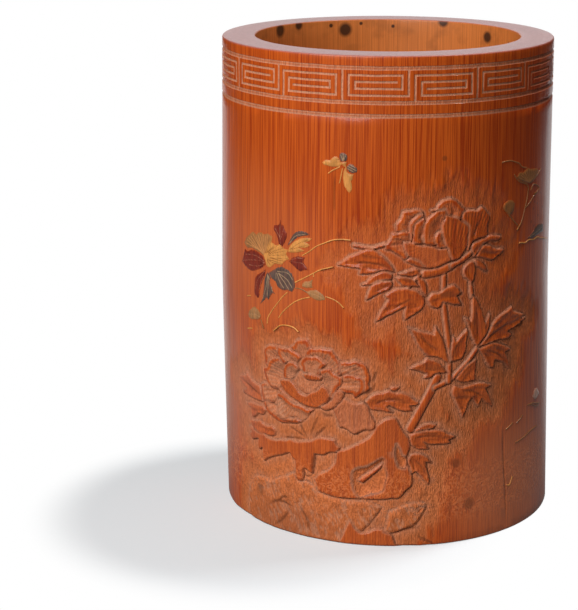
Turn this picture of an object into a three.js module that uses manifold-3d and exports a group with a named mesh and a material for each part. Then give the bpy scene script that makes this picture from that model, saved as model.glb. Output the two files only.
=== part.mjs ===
// A carved bamboo brush pot: one length of culm, closed by its own natural node near the foot.
// A key-fret border is cut under the rim. Below it two peonies, leaves and a rock stand in low relief
// on a ground that is cut back, and a butterfly and a spray of leaves are laid in in lacquer.
// Millimetres, +Z up, the foot on z = 0. The front of the pot faces -Y.
import * as THREE from "three";
import { mergeVertices } from "three/addons/utils/BufferGeometryUtils.js";
import Module from "manifold-3d";

const wasm = await Module();
wasm.setup();

// The culm
const HEIGHT = 155;
const BASE_RADIUS = 54.1;
const RIM_RADIUS = 53.3;
const TAPER_START = 60; // below this height the outside is straight
const SWEEP = 1.7; // how far the culm's axis bends sideways over its lower part
const SWEEP_HEIGHT = 78;
const RIM_WALL = 10.7;
const FOOT_WALL = 12.2; // the culm thickens towards its node
const ROUND_STEPS = 48; // facets round the pot
const EDGE_EASE = 0.5; // the rim's and the foot's worn edges

// The natural node that closes the pot
const NODE_HEIGHT = 15; // top of the floor, at its middle
const NODE_THICKNESS = 5;
const NODE_DISH = 1.2; // how much the floor dips towards the middle
const NODE_FILLET = 3;
const FOOT_OPENING_WALL = 10.5;

// The border under the rim: flat-bottomed rings, each with its lower edge so far below the rim
const GROOVE_DEPTH = 0.45;
const LOWER_RING = { bottom: HEIGHT - 18.7, width: 1.3 };
const BORDER_FOOT = { bottom: HEIGHT - 14.6, width: 1.2 };
const BORDER_HEAD = { bottom: HEIGHT - 4.3, width: 1.2 };

// The key fret between the two border rings, a pair of facing spirals and an upright, repeated
const FRET_PAIRS = 8;
const FRET_LINE = 0.75; // width of the cut line
const FRET_PITCH = 2.0; // from one line of a spiral to the next
const FRET_FIRST = -13.6; // the first upright, millimetres round from the front

// Lacquer laid into shallow beds in the skin
const BED_DEPTH = 0.6;
const LACQUER_PROUD = 0.25;
const SEAT_GAP = 0.3;

// The relief: the ground is cut back round each form, and each petal is scooped behind its rim
const GROUND_DEPTH = 0.8;
const GROUND_REACH = 4.5;
const PETAL_RIM = 1.1;

// The forms and the lacquer are drawn on a wall of this radius, from the foot up to the lower ring
const DRAWN_RADIUS = 54.1;
const DRAWN_HEIGHT = 136.3;

// The outside radius at a height
function outsideRadius(height) {
  const t = THREE.MathUtils.clamp((height - TAPER_START) / (HEIGHT - TAPER_START), 0, 1);
  return THREE.MathUtils.lerp(BASE_RADIUS, RIM_RADIUS, t);
}

// The culm's axis at a height, shifted so that the whole pot stands centred on the origin
function axisShift(height) {
  const bend = SWEEP * Math.max(0, 1 - height / SWEEP_HEIGHT);
  return bend - SWEEP / 2;
}

// Millimetres round the outside, turned into an angle from the front
function angleOf(along) {
  return along / BASE_RADIUS;
}

// A point of the wall: `along` millimetres round from the front, `proud` outwards of the skin
function onWall(along, height, proud) {
  const angle = angleOf(along);
  const radius = outsideRadius(height) + proud;
  return [
    axisShift(height) + radius * Math.sin(angle),
    -radius * Math.cos(angle),
    height,
  ];
}

// An outline as drawn, moved to the pot's own radius and height
function placed(outline) {
  const across = BASE_RADIUS / DRAWN_RADIUS;
  const up = LOWER_RING.bottom / DRAWN_HEIGHT;
  return outline.map(([along, height]) => [along * across, height * up]);
}

// A closed mesh turned into a solid that can be joined and cut
function solidOf(geometry) {
  const bare = geometry.clone();
  bare.deleteAttribute("normal");
  bare.deleteAttribute("uv");
  const merged = mergeVertices(bare, 1e-4);
  return new wasm.Manifold(
    new wasm.Mesh({
      numProp: 3,
      vertProperties: new Float32Array(merged.attributes.position.array),
      triVerts: new Uint32Array(merged.index.array),
    }),
  );
}

// And back again, for a mesh
function geometryOf(solid) {
  const mesh = solid.getMesh();
  const geometry = new THREE.BufferGeometry();
  geometry.setAttribute("position", new THREE.BufferAttribute(mesh.vertProperties, 3));
  geometry.setIndex(new THREE.BufferAttribute(mesh.triVerts, 1));
  geometry.computeVertexNormals();
  return geometry;
}

// A turned form that follows the culm's bent axis. The profile is [radius, height] points.
function turned(profile) {
  const points = profile.map(([radius, height]) => new THREE.Vector2(radius, height));
  const geometry = new THREE.LatheGeometry(points, ROUND_STEPS);
  geometry.rotateX(Math.PI / 2);
  const place = geometry.attributes.position;
  for (let i = 0; i < place.count; i += 1) {
    place.setX(i, place.getX(i) + axisShift(place.getZ(i)));
  }
  return solidOf(geometry);
}

// A closed skin that follows the outside of the wall between two offsets
function skin(from, to) {
  const low = -1;
  const high = HEIGHT + 1;
  const heights = [low, SWEEP_HEIGHT, TAPER_START, high].sort((a, b) => a - b);
  const outer = heights.map((h) => [outsideRadius(h) + to, h]);
  const inner = heights.map((h) => [outsideRadius(h) + from, h]).reverse();
  return turned([...outer, ...inner, outer[0]]);
}

// A flat outline, [along, height] points anticlockwise, driven radially through the wall
function punch(outline, from, to) {
  const flat = outline.map(([along, height]) => new THREE.Vector2(along, height));
  if (THREE.ShapeUtils.area(flat) < 0) {
    flat.reverse();
  }
  const faces = THREE.ShapeUtils.triangulateShape(flat, []);
  const count = flat.length;
  const points = [
    ...flat.map((p) => onWall(p.x, p.y, from)),
    ...flat.map((p) => onWall(p.x, p.y, to)),
  ];
  const index = [];
  for (const [a, b, c] of faces) {
    index.push(a, c, b);
    index.push(a + count, b + count, c + count);
  }
  for (let i = 0; i < count; i += 1) {
    const next = (i + 1) % count;
    // Two outlines that share an edge split its twisted side along the same diagonal
    if (flat[i].x < flat[next].x) {
      index.push(i, next, next + count);
      index.push(i, next + count, i + count);
    } else {
      index.push(i, next, i + count);
      index.push(next, next + count, i + count);
    }
  }
  const geometry = new THREE.BufferGeometry();
  geometry.setAttribute("position", new THREE.Float32BufferAttribute(points.flat(), 3));
  geometry.setIndex(index);
  return solidOf(geometry);
}

// An outline drawn in by the same amount all round
function drawnIn(outline, amount) {
  const flat = outline.map(([along, height]) => new THREE.Vector2(along, height));
  if (THREE.ShapeUtils.area(flat) < 0) {
    flat.reverse();
  }
  return flat.map((point, i) => {
    const before = flat[(i + flat.length - 1) % flat.length];
    const after = flat[(i + 1) % flat.length];
    const arriving = point.clone().sub(before).normalize();
    const leaving = after.clone().sub(point).normalize();
    const normal = new THREE.Vector2(-arriving.y - leaving.y, arriving.x + leaving.x).normalize();
    const reach = amount / Math.max(0.6, normal.dot(new THREE.Vector2(-leaving.y, leaving.x)));
    return [point.x + normal.x * reach, point.y + normal.y * reach];
  });
}

// The smallest outline without hollows that holds some points, anticlockwise
function hullOf(points) {
  const sorted = [...points].sort((a, b) => a[0] - b[0] || a[1] - b[1]);
  const half = (list) => {
    const chain = [];
    for (const point of list) {
      while (chain.length > 1 && turnOf(chain.at(-2), chain.at(-1), point) <= 0) {
        chain.pop();
      }
      chain.push(point);
    }
    return chain.slice(0, -1);
  };
  return [...half(sorted), ...half(sorted.reverse())];
}

// Above 0 where the way from a over b to c turns left
function turnOf(a, b, c) {
  return (b[0] - a[0]) * (c[1] - a[1]) - (b[1] - a[1]) * (c[0] - a[0]);
}

// The middle of some points
function meanOf(points) {
  const sum = points.reduce(([x, y], point) => [x + point[0], y + point[1]], [0, 0]);
  return [sum[0] / points.length, sum[1] / points.length];
}

// A line given a width, as an outline
function ribbon(line, width) {
  const sides = line.map((point, i) => {
    const before = line[Math.max(0, i - 1)];
    const after = line[Math.min(line.length - 1, i + 1)];
    const way = new THREE.Vector2(after[0] - before[0], after[1] - before[1]).setLength(width / 2);
    return [
      [point[0] - way.y, point[1] + way.x],
      [point[0] + way.y, point[1] - way.x],
    ];
  });
  return [...sides.map(([left]) => left), ...sides.map(([, right]) => right).reverse()];
}

// Half the turned wall's section: underside of the node, foot, outside with its rings, rim, bore
function culmProfile() {
  const floorTop = NODE_HEIGHT;
  const floorBottom = NODE_HEIGHT - NODE_THICKNESS;
  const footBore = BASE_RADIUS - FOOT_OPENING_WALL;
  const boreFoot = BASE_RADIUS - FOOT_WALL;
  const boreRim = RIM_RADIUS - RIM_WALL;
  const underside = [
    [0, floorBottom - NODE_DISH],
    [footBore - NODE_FILLET, floorBottom],
    [footBore, floorBottom - NODE_FILLET],
  ];
  const foot = [
    [footBore, EDGE_EASE],
    [footBore + EDGE_EASE, 0],
    [BASE_RADIUS - EDGE_EASE, 0],
    [BASE_RADIUS, EDGE_EASE],
  ];
  const rings = [LOWER_RING, BORDER_FOOT, BORDER_HEAD].flatMap(({ bottom, width }) => [
    [outsideRadius(bottom), bottom],
    [outsideRadius(bottom) - GROOVE_DEPTH, bottom + GROOVE_DEPTH / 2],
    [outsideRadius(bottom + width) - GROOVE_DEPTH, bottom + width - GROOVE_DEPTH / 2],
    [outsideRadius(bottom + width), bottom + width],
  ]);
  const rim = [
    [RIM_RADIUS, HEIGHT - EDGE_EASE],
    [RIM_RADIUS - EDGE_EASE, HEIGHT],
    [boreRim + EDGE_EASE, HEIGHT],
    [boreRim, HEIGHT - EDGE_EASE],
  ];
  const bore = [
    [boreFoot, floorTop + NODE_FILLET],
    [boreFoot - NODE_FILLET * 0.3, floorTop + NODE_FILLET * 0.3],
    [boreFoot - NODE_FILLET, floorTop],
    [0, floorTop - NODE_DISH],
  ];
  const bends = [TAPER_START, SWEEP_HEIGHT].sort((a, b) => a - b);
  const outside = bends.map((height) => [outsideRadius(height), height]);
  return [...underside, ...foot, ...outside, ...rings, ...rim, ...bore];
}

// One spiral of the fret as a closed outline: a line led inwards from the border.
// `turn` is 1 for the spiral that hangs from the border's head, -1 for its mate turned half round.
function spiral(start, length, turn) {
  const low = BORDER_FOOT.bottom + BORDER_FOOT.width;
  const middle = (low + BORDER_HEAD.bottom) / 2;
  const rise = (BORDER_HEAD.bottom - low) / 2;
  const half = length / 2;
  const p = FRET_PITCH;
  const path = [
    [half, rise + GROOVE_DEPTH],
    [half, -1.5 * p],
    [-half, -1.5 * p],
    [-half, 1.5 * p],
    [half - p, 1.5 * p],
    [half - p, -0.5 * p],
    [-half + p, -0.5 * p],
    [-half + p, 0.5 * p],
    [half - 1.9 * p, 0.5 * p],
  ];
  const side = FRET_LINE / 2;
  const left = [];
  const right = [];
  path.forEach((point, i) => {
    const before = path[Math.max(0, i - 1)];
    const after = path[Math.min(path.length - 1, i + 1)];
    const inX = Math.sign(point[0] - before[0]);
    const inY = Math.sign(point[1] - before[1]);
    const outX = Math.sign(after[0] - point[0]);
    const outY = Math.sign(after[1] - point[1]);
    const shift = [-(inY || outY) * side, (inX || outX) * side];
    if (i === 0) {
      shift[1] = 0;
    }
    if (i === path.length - 1) {
      shift[0] = 0;
    }
    left.push([point[0] + shift[0], point[1] + shift[1]]);
    right.push([point[0] - shift[0], point[1] - shift[1]]);
  });
  const centre = start + half;
  return [...left, ...right.reverse()].map(([x, y]) => [centre + turn * x, middle + turn * y]);
}

// Every cut of the fret, as outlines
function fretOutlines() {
  const step = (2 * Math.PI * BASE_RADIUS) / FRET_PAIRS;
  const low = BORDER_FOOT.bottom + BORDER_FOOT.width - GROOVE_DEPTH;
  const high = BORDER_HEAD.bottom + GROOVE_DEPTH;
  const length = (step - 3 * FRET_PITCH) / 2;
  const outlines = [];
  for (let i = 0; i < FRET_PAIRS; i += 1) {
    const upright = FRET_FIRST + i * step;
    outlines.push([
      [upright - FRET_LINE / 2, low],
      [upright + FRET_LINE / 2, low],
      [upright + FRET_LINE / 2, high],
      [upright - FRET_LINE / 2, high],
    ]);
    outlines.push(spiral(upright + FRET_PITCH, length, 1));
    outlines.push(spiral(upright + 2 * FRET_PITCH + length, length, -1));
  }
  return outlines;
}

// The carved forms, each outline in millimetres on the unrolled wall, from the back to the front,
// as one form is cut over another. A petal is scooped towards its bloom's centre.
const UPPER_CENTRE = [20.5, 98.5];
const LOWER_CENTRE = [-25, 51];
const EARTH = [
  [[-60, 11], [-50, 14.6], [-43.1, 15.5], [-30.8, 20.9], [-30, 18.1], [-6, 14.4], [-1.4, 13], [-8, 4.5],
    [-14, -2], [-62, -2]],
  [[-0.5, 5], [1, 11.5], [9, 14.2], [12.5, 13.9], [6, 5.6]],
];
const ROCK = [
  [[-51.8, 29.2], [-52.2, 31.3], [-37.6, 30.4], [-22.1, 34], [-16, 34.2], [-15.3, 30.3], [-23.1, 28.8],
    [-24.1, 22.1], [-27, 23.6], [-28, 19], [-29.6, 18.9], [-30.4, 25.5], [-33, 27.3], [-44.3, 21.9],
    [-45.4, 25.9], [-50.4, 27.5]],
  [[-25.6, 19.1], [-20, 22], [-15.5, 27.9], [-14.8, 32.4], [-12.3, 31.7], [-5, 36], [-1, 41.3],
    [4, 41.5], [7.8, 34.8], [6.6, 29.5], [8, 20], [5, 17], [-16, 15.4]],
];
const ROCK_HOLLOWS = [
  [[-9.6, 25], [-1, 29.4], [0.2, 24], [-1.4, 18.4], [-8, 16], [-10.4, 22]],
  [[3.6, 34], [6.6, 29.4], [6, 26.1], [4.6, 26.6], [3.3, 31]],
];
const ROCK_TONGUE = [[-8.6, 21.6], [-3.4, 25.6], [-0.8, 27.6], [-7, 20.8]];
const ROCK_LEAVES = [
  [[8.2, 38.2], [16.6, 39.9], [23, 35.2], [21.2, 33.4], [14, 33.8], [13.8, 32.2], [8.4, 33.6]],
  [[8.2, 30.6], [12.4, 30.1], [15, 27.4], [12.8, 28], [13.8, 20.4], [9.8, 25], [8.4, 24.2], [7.2, 28.4]],
];
const LOWER_LEAVES = [
  [[-58.6, 46.6], [-53, 50], [-45.4, 46.9], [-42.5, 41.9], [-56, 42.2]],
  [[-53.6, 38.9], [-46.5, 40.1], [-42.8, 39.4], [-46.5, 37.4], [-50, 35.2]],
  [[-51.4, 34], [-45.4, 35], [-38.7, 33.9], [-39.3, 31.6], [-43.6, 31.3]],
  [[-6, 47.6], [-2.8, 50.5], [1.6, 51.6], [11.2, 47.2], [8.7, 45], [1.4, 46.7], [2.6, 44.4], [-4.4, 45.4]],
  [[-16.4, 44.6], [-12.8, 48.2], [-6.8, 47.3], [-3, 40.4], [-6.4, 38.5], [-9.8, 36.9], [-14.4, 38.8]],
];
const LOWER_PETALS = [
  [[-31.2, 62.6], [-28.9, 65], [-25, 66], [-23.4, 63.4], [-26.6, 60], [-29.6, 61.6]],
  [[-42.6, 59.2], [-40, 61.4], [-36, 62], [-36, 58], [-39.6, 56.8], [-41.4, 54.4]],
  [[-25.2, 62], [-22, 63.4], [-17, 63.6], [-14, 59.9], [-13.8, 55.8], [-20.5, 60.4], [-25.5, 60.3]],
  [[-13.8, 60], [-9.6, 60.7], [-5.8, 59.4], [-4.6, 52], [-7.8, 50], [-7, 54.6], [-13.6, 57.6]],
  [[-36.2, 61.8], [-30.2, 61.3], [-27.3, 59.8], [-30.6, 57.6], [-34, 56.6], [-36.4, 60]],
  [[-43.2, 53.4], [-40.2, 56.2], [-36, 58.1], [-34, 54.6], [-35.8, 48.6], [-39.8, 47.6], [-42.6, 51.4]],
  [[-27.4, 58.2], [-25.2, 60.4], [-21.8, 60.9], [-18.6, 58.8], [-21, 54.8], [-24.8, 54.5], [-27, 57]],
  [[-34, 52], [-34.2, 54.2], [-32.2, 57.3], [-29, 57], [-28.6, 55.2], [-31.2, 51.4]],
  [[-13.4, 55], [-11.4, 56.3], [-7.4, 55.4], [-6.4, 53], [-9.2, 48.9], [-14.4, 50.6], [-15, 51.8]],
  [[-20.6, 56.4], [-17.4, 57.6], [-13.4, 54.8], [-14.8, 51.6], [-17, 47.4], [-17.8, 49], [-19.2, 53.6]],
];
const LOWER_HEART = [
  [-30.8, 51.6], [-28, 55.4], [-24, 54.2], [-19.8, 53], [-22.6, 49.6], [-25.2, 48.2], [-29.2, 50.2],
];
const LOWER_LIPS = [
  [[-36.6, 47.4], [-36, 50.8], [-31.2, 51.3], [-26, 47.6], [-20, 51.8], [-17.6, 48.4], [-14.6, 51],
    [-13, 50], [-15, 46.2], [-19.4, 43.8], [-26.6, 44.2]],
  [[-44.6, 47.6], [-40.6, 48.2], [-36.6, 47.6], [-38.6, 43.4], [-43.4, 42.4]],
  [[-43.6, 42], [-38.4, 41.8], [-33, 39.2], [-27, 39], [-35.8, 37], [-41.6, 39]],
  [[-37, 46], [-35.9, 46.6], [-30.1, 44.1], [-23.2, 43.4], [-27.2, 39.4], [-35, 38.6], [-38, 41]],
];
const PLANT_LEAVES = [
  [[7.8, 71.6], [15.8, 69.1], [19, 66], [20.3, 59.5], [13.8, 62.4], [10.4, 66.6]],
  [[7.6, 58.6], [13.2, 61.6], [17.4, 59.7], [20.3, 56.6], [14.6, 55.4], [12.4, 55.3], [13.2, 56.8]],
  [[22.2, 67.8], [23, 66.3], [27, 69.8], [26.3, 63], [23.5, 60.2], [21.3, 60]],
  [[29, 80.3], [33.8, 70.6], [35.7, 74], [34.9, 68], [30.6, 63.8], [26.2, 73.4], [28.4, 72.2]],
  [[31, 63.6], [39.4, 71.9], [45.8, 74.3], [53.9, 68.9], [43.4, 66.6], [46, 65], [42.4, 64.2]],
  [[31.2, 62.8], [37.5, 63.9], [45.2, 60.4], [42.2, 60], [44.4, 54.2], [35.6, 56.2]],
  [[23, 54.2], [30.4, 60], [30, 53]],
  [[22.4, 52.2], [31, 51.9], [36.4, 50.2], [36.9, 43.2], [32.4, 46.6], [31.2, 44], [28.8, 47.4],
    [25.4, 41.2]],
];
const UPPER_LEAVES = [
  [[28.2, 95.6], [34.2, 98.5], [40, 97.5], [34.4, 95.4], [41, 93.6], [36.4, 90.8], [30.2, 92.6]],
  [[27.6, 91], [25.4, 88.4], [28.2, 84], [30, 89.6], [34.4, 87.2], [32.4, 90.4], [28.6, 91.6]],
  [[4.6, 88.6], [10.2, 90], [13, 85], [13.2, 81.5], [10.2, 85.4], [6.2, 84.9], [3.6, 87.4]],
  [[-14.6, 90.9], [-10.2, 94.1], [-3.4, 96.2], [3.2, 89.2], [-7.8, 88.4]],
  [[-7, 84.9], [-1, 89.3], [2.4, 88.6], [2.5, 85.5], [-1.3, 82.6], [-5.4, 80.3], [-3.8, 84.9]],
  [[-2.6, 73.4], [1.4, 80.6], [2.2, 83.3], [8.2, 83.8], [12.7, 80.2], [6.5, 74.2], [7.1, 78.6]],
  [[13.8, 80.6], [21.6, 84.2], [25, 77.8], [18.6, 79.4], [15.4, 77.8]],
];
const UPPER_PETALS = [
  [[14.2, 108], [18.5, 111], [21, 111.3], [25.8, 107.3], [24, 104.6], [19, 107.2]],
  [[3.6, 102], [3.6, 104.2], [5.5, 108], [8.6, 108.4], [11.9, 107.6], [9, 106.2], [7.4, 101.6]],
  [[8.6, 98.2], [9.4, 104], [12, 106.6], [13.2, 104], [13, 98]],
  [[12.3, 97.9], [12.5, 104.3], [15.2, 107], [18.8, 108], [19.2, 106.5], [16, 101], [16.3, 97.2]],
  [[0.2, 96.7], [1.8, 99.6], [4, 101.3], [7.3, 101.4], [7.5, 98.6], [8, 95.3], [6.5, 93], [3.6, 95.1]],
];
const UPPER_LIPS = [
  [[25.2, 106.8], [31.5, 107.8], [34.8, 105], [34.2, 99], [28.9, 97.7], [27.4, 95], [27.3, 102.4], [25, 105.2]],
  [[19.2, 106.3], [24.3, 104.2], [26.7, 102.2], [26.3, 96], [23.5, 92.5], [21.3, 92], [18.6, 99],
    [18, 103]],
  [[6.5, 92.7], [8.5, 93.8], [11.5, 92.2], [13.4, 90.2], [9.8, 91.2]],
  [[5.9, 98.4], [10.5, 97.3], [15, 96.6], [19.6, 95.8], [21.2, 92], [17, 90.5], [13.3, 90.3],
    [9.5, 93.5], [6.6, 95.6]],
];

// The stems that are left standing: a width and a line
const STEMS = [
  [2.4, [[8, 39], [16.8, 55.5]]],
  [1.4, [[16, 52], [21, 54], [31.5, 63.8]]],
  [1.5, [[20.6, 53.5], [20.8, 62], [18.9, 88]]],
  [2.4, [[12.6, 88.4], [21.5, 90.5]]],
  [1.5, [[21.5, 90.5], [28, 94], [32.3, 96.6]]],
];

// The lacquered motifs, each outline in millimetres on the unrolled wall
const GOLD = 0xc98a3c;
const OLIVE = 0x8f7434;
const RUSSET = 0x6f1f14;
const SLATE = 0x4b443f;
const SHELL = 0xb99a82;
const MOTIFS = {
  butterfly_wings: {
    colour: GOLD,
    outline: [
      [-20.2, 122.4], [-18.8, 123.3], [-16.8, 123.3], [-15.8, 124.5], [-14.3, 124.1], [-13.7, 122.8],
      [-12.0, 123.2], [-12.2, 121.2], [-11.4, 119.6], [-10.0, 119.3], [-10.1, 115.6], [-10.8, 113.3],
      [-12.4, 115.4], [-13.2, 118.4], [-12.8, 120.7], [-14.0, 121.4], [-17.2, 121.1], [-19.0, 121.4],
    ],
  },
  butterfly_upper_hindwing: {
    colour: SLATE,
    outline: [
      [-13.6, 123.2], [-12.1, 123.5], [-11.8, 124.8], [-12.9, 125.8], [-14.0, 125.2], [-14.2, 124.2],
    ],
  },
  butterfly_lower_hindwing: {
    colour: SLATE,
    outline: [[-11.9, 121.6], [-11.1, 119.8], [-9.6, 119.4], [-8.8, 120.6], [-9.2, 122.0], [-10.6, 122.6]],
  },
  gold_bloom: {
    colour: GOLD,
    outline: [
      [-52.6, 92.6], [-51.4, 94.8], [-49.2, 96.4], [-46.4, 97.4], [-43.4, 97.9], [-40.4, 97.7],
      [-37.8, 97.0], [-36.6, 94.8], [-33.6, 94.1], [-32.0, 93.0], [-31.2, 90.7], [-33.0, 89.2],
      [-36.4, 88.3], [-39.2, 86.6], [-40.8, 87.4], [-41.4, 90.4], [-43.4, 91.6], [-47.0, 91.9],
    ],
  },
  russet_leaf_left: {
    colour: RUSSET,
    outline: [
      [-41.6, 90.0], [-44.0, 91.1], [-47.2, 91.5], [-50.6, 91.3], [-53.0, 89.4], [-54.6, 86.2],
      [-51.6, 84.4], [-48.6, 83.8], [-45.6, 84.4], [-43.0, 86.2], [-41.2, 87.4],
    ],
  },
  russet_leaf_lower: {
    colour: RUSSET,
    outline: [
      [-41.2, 86.0], [-43.6, 85.4], [-45.8, 83.0], [-47.0, 79.6], [-46.4, 76.6], [-45.0, 76.6],
      [-43.6, 79.6], [-42.4, 82.8],
    ],
  },
  russet_leaf_top: {
    colour: RUSSET,
    outline: [
      [-36.4, 95.0], [-37.6, 98.6], [-37.2, 101.4], [-35.8, 100.6], [-34.8, 103.2], [-33.8, 101.0],
      [-32.4, 99.6], [-31.8, 97.0], [-32.6, 94.4], [-34.6, 94.0],
    ],
  },
  russet_leaf_right: {
    colour: RUSSET,
    outline: [
      [-31.2, 90.8], [-30.0, 92.2], [-27.6, 92.9], [-25.2, 92.3], [-25.4, 90.6], [-23.8, 88.4],
      [-26.2, 87.6], [-28.4, 87.7], [-30.0, 89.2],
    ],
  },
  slate_leaf_left: {
    colour: SLATE,
    outline: [
      [-40.6, 85.6], [-42.0, 82.2], [-43.2, 79.2], [-45.0, 75.8], [-43.8, 74.4], [-41.8, 76.2],
      [-39.4, 76.2], [-38.2, 77.8], [-36.6, 79.0], [-37.6, 81.4], [-39.2, 84.6],
    ],
  },
  slate_leaf_right: {
    colour: SLATE,
    outline: [
      [-39.6, 86.2], [-36.2, 88.0], [-33.0, 88.7], [-30.8, 87.2], [-29.4, 84.6], [-29.0, 82.0],
      [-30.4, 80.4], [-33.4, 80.2], [-35.8, 81.2], [-37.4, 82.8], [-38.8, 84.8],
    ],
  },
  slate_leaf_top: {
    colour: SLATE,
    outline: [
      [-32.2, 95.2], [-30.6, 98.4], [-28.2, 100.4], [-25.2, 100.9], [-22.8, 99.4], [-26.0, 98.9],
      [-29.2, 97.2],
    ],
  },
  gold_leaf: {
    colour: GOLD,
    outline: [
      [-32.0, 94.4], [-29.0, 96.9], [-26.0, 98.5], [-22.8, 98.9], [-24.2, 96.8], [-25.6, 94.4],
      [-28.6, 93.2], [-31.6, 92.9],
    ],
  },
  olive_leaf_upper: {
    colour: OLIVE,
    outline: [[-27.2, 82.9], [-25.6, 84.6], [-22.8, 86.0], [-22.2, 83.2], [-24.4, 82.5]],
  },
  olive_leaf_lower: {
    colour: OLIVE,
    outline: [
      [-25.4, 81.8], [-22.6, 82.6], [-20.4, 81.9], [-18.0, 79.6], [-19.8, 79.0], [-22.6, 79.2],
      [-24.2, 80.6],
    ],
  },
  olive_bud_left: {
    colour: OLIVE,
    outline: [
      [-50.6, 69.6], [-48.8, 72.2], [-46.6, 73.4], [-43.8, 72.4], [-42.8, 70.2], [-44.6, 68.6],
      [-48.6, 68.2],
    ],
  },
  olive_bud_right: {
    colour: OLIVE,
    outline: [
      [40.3, 107.2], [41.6, 109.0], [44.0, 109.2], [45.8, 107.4], [45.2, 105.2], [43.0, 103.6],
      [41.0, 105.0],
    ],
  },
  gold_thistle: {
    colour: OLIVE,
    outline: [
      [45.8, 115.6], [48.0, 117.0], [51.0, 117.8], [54.6, 117.8], [58.0, 117.0], [60.0, 115.8],
      [57.4, 113.6], [54.0, 112.0], [51.0, 112.8], [48.2, 114.2],
    ],
  },
  shell_pebble: {
    colour: SHELL,
    outline: [
      [58.0, 41.2], [59.2, 43.2], [61.0, 44.2], [62.8, 43.2], [64.6, 40.9], [62.4, 40.0], [60.4, 39.6],
    ],
  },
};

const pot = new THREE.Group();

function addNode(name, solid, colour, roughness) {
  const material = new THREE.MeshStandardMaterial({ color: colour, roughness, metalness: 0 });
  const mesh = new THREE.Mesh(geometryOf(solid), material);
  mesh.name = name;
  pot.add(mesh);
}

// How far a punch reaches past the skin each way, so that long chords still clear it
const PUNCH_DEPTH = 6;
const PUNCH_CLEAR = 6;

// A punch that goes right through the skin
function through(outline) {
  return punch(outline, -PUNCH_DEPTH, PUNCH_CLEAR);
}

// The lacquer pieces, each in its own bed
const beds = [];
for (const [name, { colour, outline }] of Object.entries(MOTIFS)) {
  const bed = placed(outline);
  const piece = through(drawnIn(bed, SEAT_GAP)).intersect(skin(-BED_DEPTH + SEAT_GAP, LACQUER_PROUD));
  beds.push(through(bed));
  addNode(name, piece, colour, 0.35);
}

// What the carver takes away, as punches: the ground round the forms and the scoops in the petals
function reliefCuts() {
  const standing = (outline) => ({ outline });
  const scooped = (centre) => (outline) => ({ outline, centre });
  const forms = [
    ...EARTH.map(standing),
    ...ROCK.map(standing),
    ...ROCK_HOLLOWS.map((outline) => ({ outline, hollow: true })),
    standing(ROCK_TONGUE),
    ...ROCK_LEAVES.map(standing),
    ...LOWER_LEAVES.map(standing),
    ...LOWER_PETALS.map(scooped(LOWER_CENTRE)),
    { outline: LOWER_HEART, hollow: true },
    ...LOWER_LIPS.map(standing),
    ...STEMS.map(([width, line]) => standing(ribbon(line, width))),
    ...PLANT_LEAVES.map(standing),
    ...UPPER_LEAVES.map(standing),
    ...UPPER_PETALS.map(scooped(UPPER_CENTRE)),
    ...UPPER_LIPS.map(standing),
  ];
  const onGround = forms.slice(EARTH.length).map(({ outline }) => drawnIn(hullOf(outline), -GROUND_REACH));
  let cuts = wasm.Manifold.union(onGround.map((outline) => through(placed(outline))));
  for (const { outline, centre, hollow } of forms) {
    const form = through(placed(outline));
    cuts = hollow ? cuts.add(form) : cuts.subtract(form);
    if (centre) {
      const middle = meanOf(outline);
      const inwards = new THREE.Vector2(centre[0] - middle[0], centre[1] - middle[1]).setLength(PETAL_RIM);
      const shifted = outline.map(([x, y]) => [x + inwards.x, y + inwards.y]);
      cuts = cuts.add(through(placed(shifted)));
    }
  }
  return cuts;
}

// The culm, with the beds, the fret and the relief cut into its skin
const bedCuts = wasm.Manifold.union(beds).intersect(skin(-BED_DEPTH, PUNCH_CLEAR));
const fretCuts = wasm.Manifold.union(fretOutlines().map(through)).intersect(skin(-GROOVE_DEPTH, PUNCH_CLEAR));
const groundCuts = reliefCuts().intersect(skin(-GROUND_DEPTH, PUNCH_CLEAR));
const culm = turned(culmProfile()).subtract(fretCuts).subtract(bedCuts).subtract(groundCuts);
addNode("bamboo_culm", culm, 0xa8481c, 0.45);

export default pot;
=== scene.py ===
"""A carved bamboo brush pot: its skin, its carving in low relief, its key-fret border and its lacquer.

The outside of the pot is drawn unrolled: `along` is millimetres round from the front at the foot's
radius, and `height` is millimetres above the foot. Forms are outlines in those two numbers.
"""

import math

import bpy
import numpy as np
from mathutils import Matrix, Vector
from mathutils.geometry import delaunay_2d_cdt


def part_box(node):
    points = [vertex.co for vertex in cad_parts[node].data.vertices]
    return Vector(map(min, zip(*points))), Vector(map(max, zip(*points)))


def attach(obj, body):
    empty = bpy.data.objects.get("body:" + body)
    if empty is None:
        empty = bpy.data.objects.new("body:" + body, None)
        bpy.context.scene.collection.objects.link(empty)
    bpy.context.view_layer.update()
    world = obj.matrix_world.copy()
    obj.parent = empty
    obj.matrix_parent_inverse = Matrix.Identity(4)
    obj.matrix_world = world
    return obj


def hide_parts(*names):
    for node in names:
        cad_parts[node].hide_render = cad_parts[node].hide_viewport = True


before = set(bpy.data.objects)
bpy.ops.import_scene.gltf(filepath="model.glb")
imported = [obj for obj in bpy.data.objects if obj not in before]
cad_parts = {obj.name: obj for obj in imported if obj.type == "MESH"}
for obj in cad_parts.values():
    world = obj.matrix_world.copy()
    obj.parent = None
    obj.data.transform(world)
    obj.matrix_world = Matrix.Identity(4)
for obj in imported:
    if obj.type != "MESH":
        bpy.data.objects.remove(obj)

bl_info = {
    "name": "Carved bamboo brush pot",
    "version": (1, 0, 0),
    "blender": (4, 5, 0),
    "location": "3D View > Sidebar > Brush pot",
    "description": "Builds a carved and lacquered bamboo brush pot round its packed model",
    "category": "Object",
}

MM = 0.001

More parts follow.
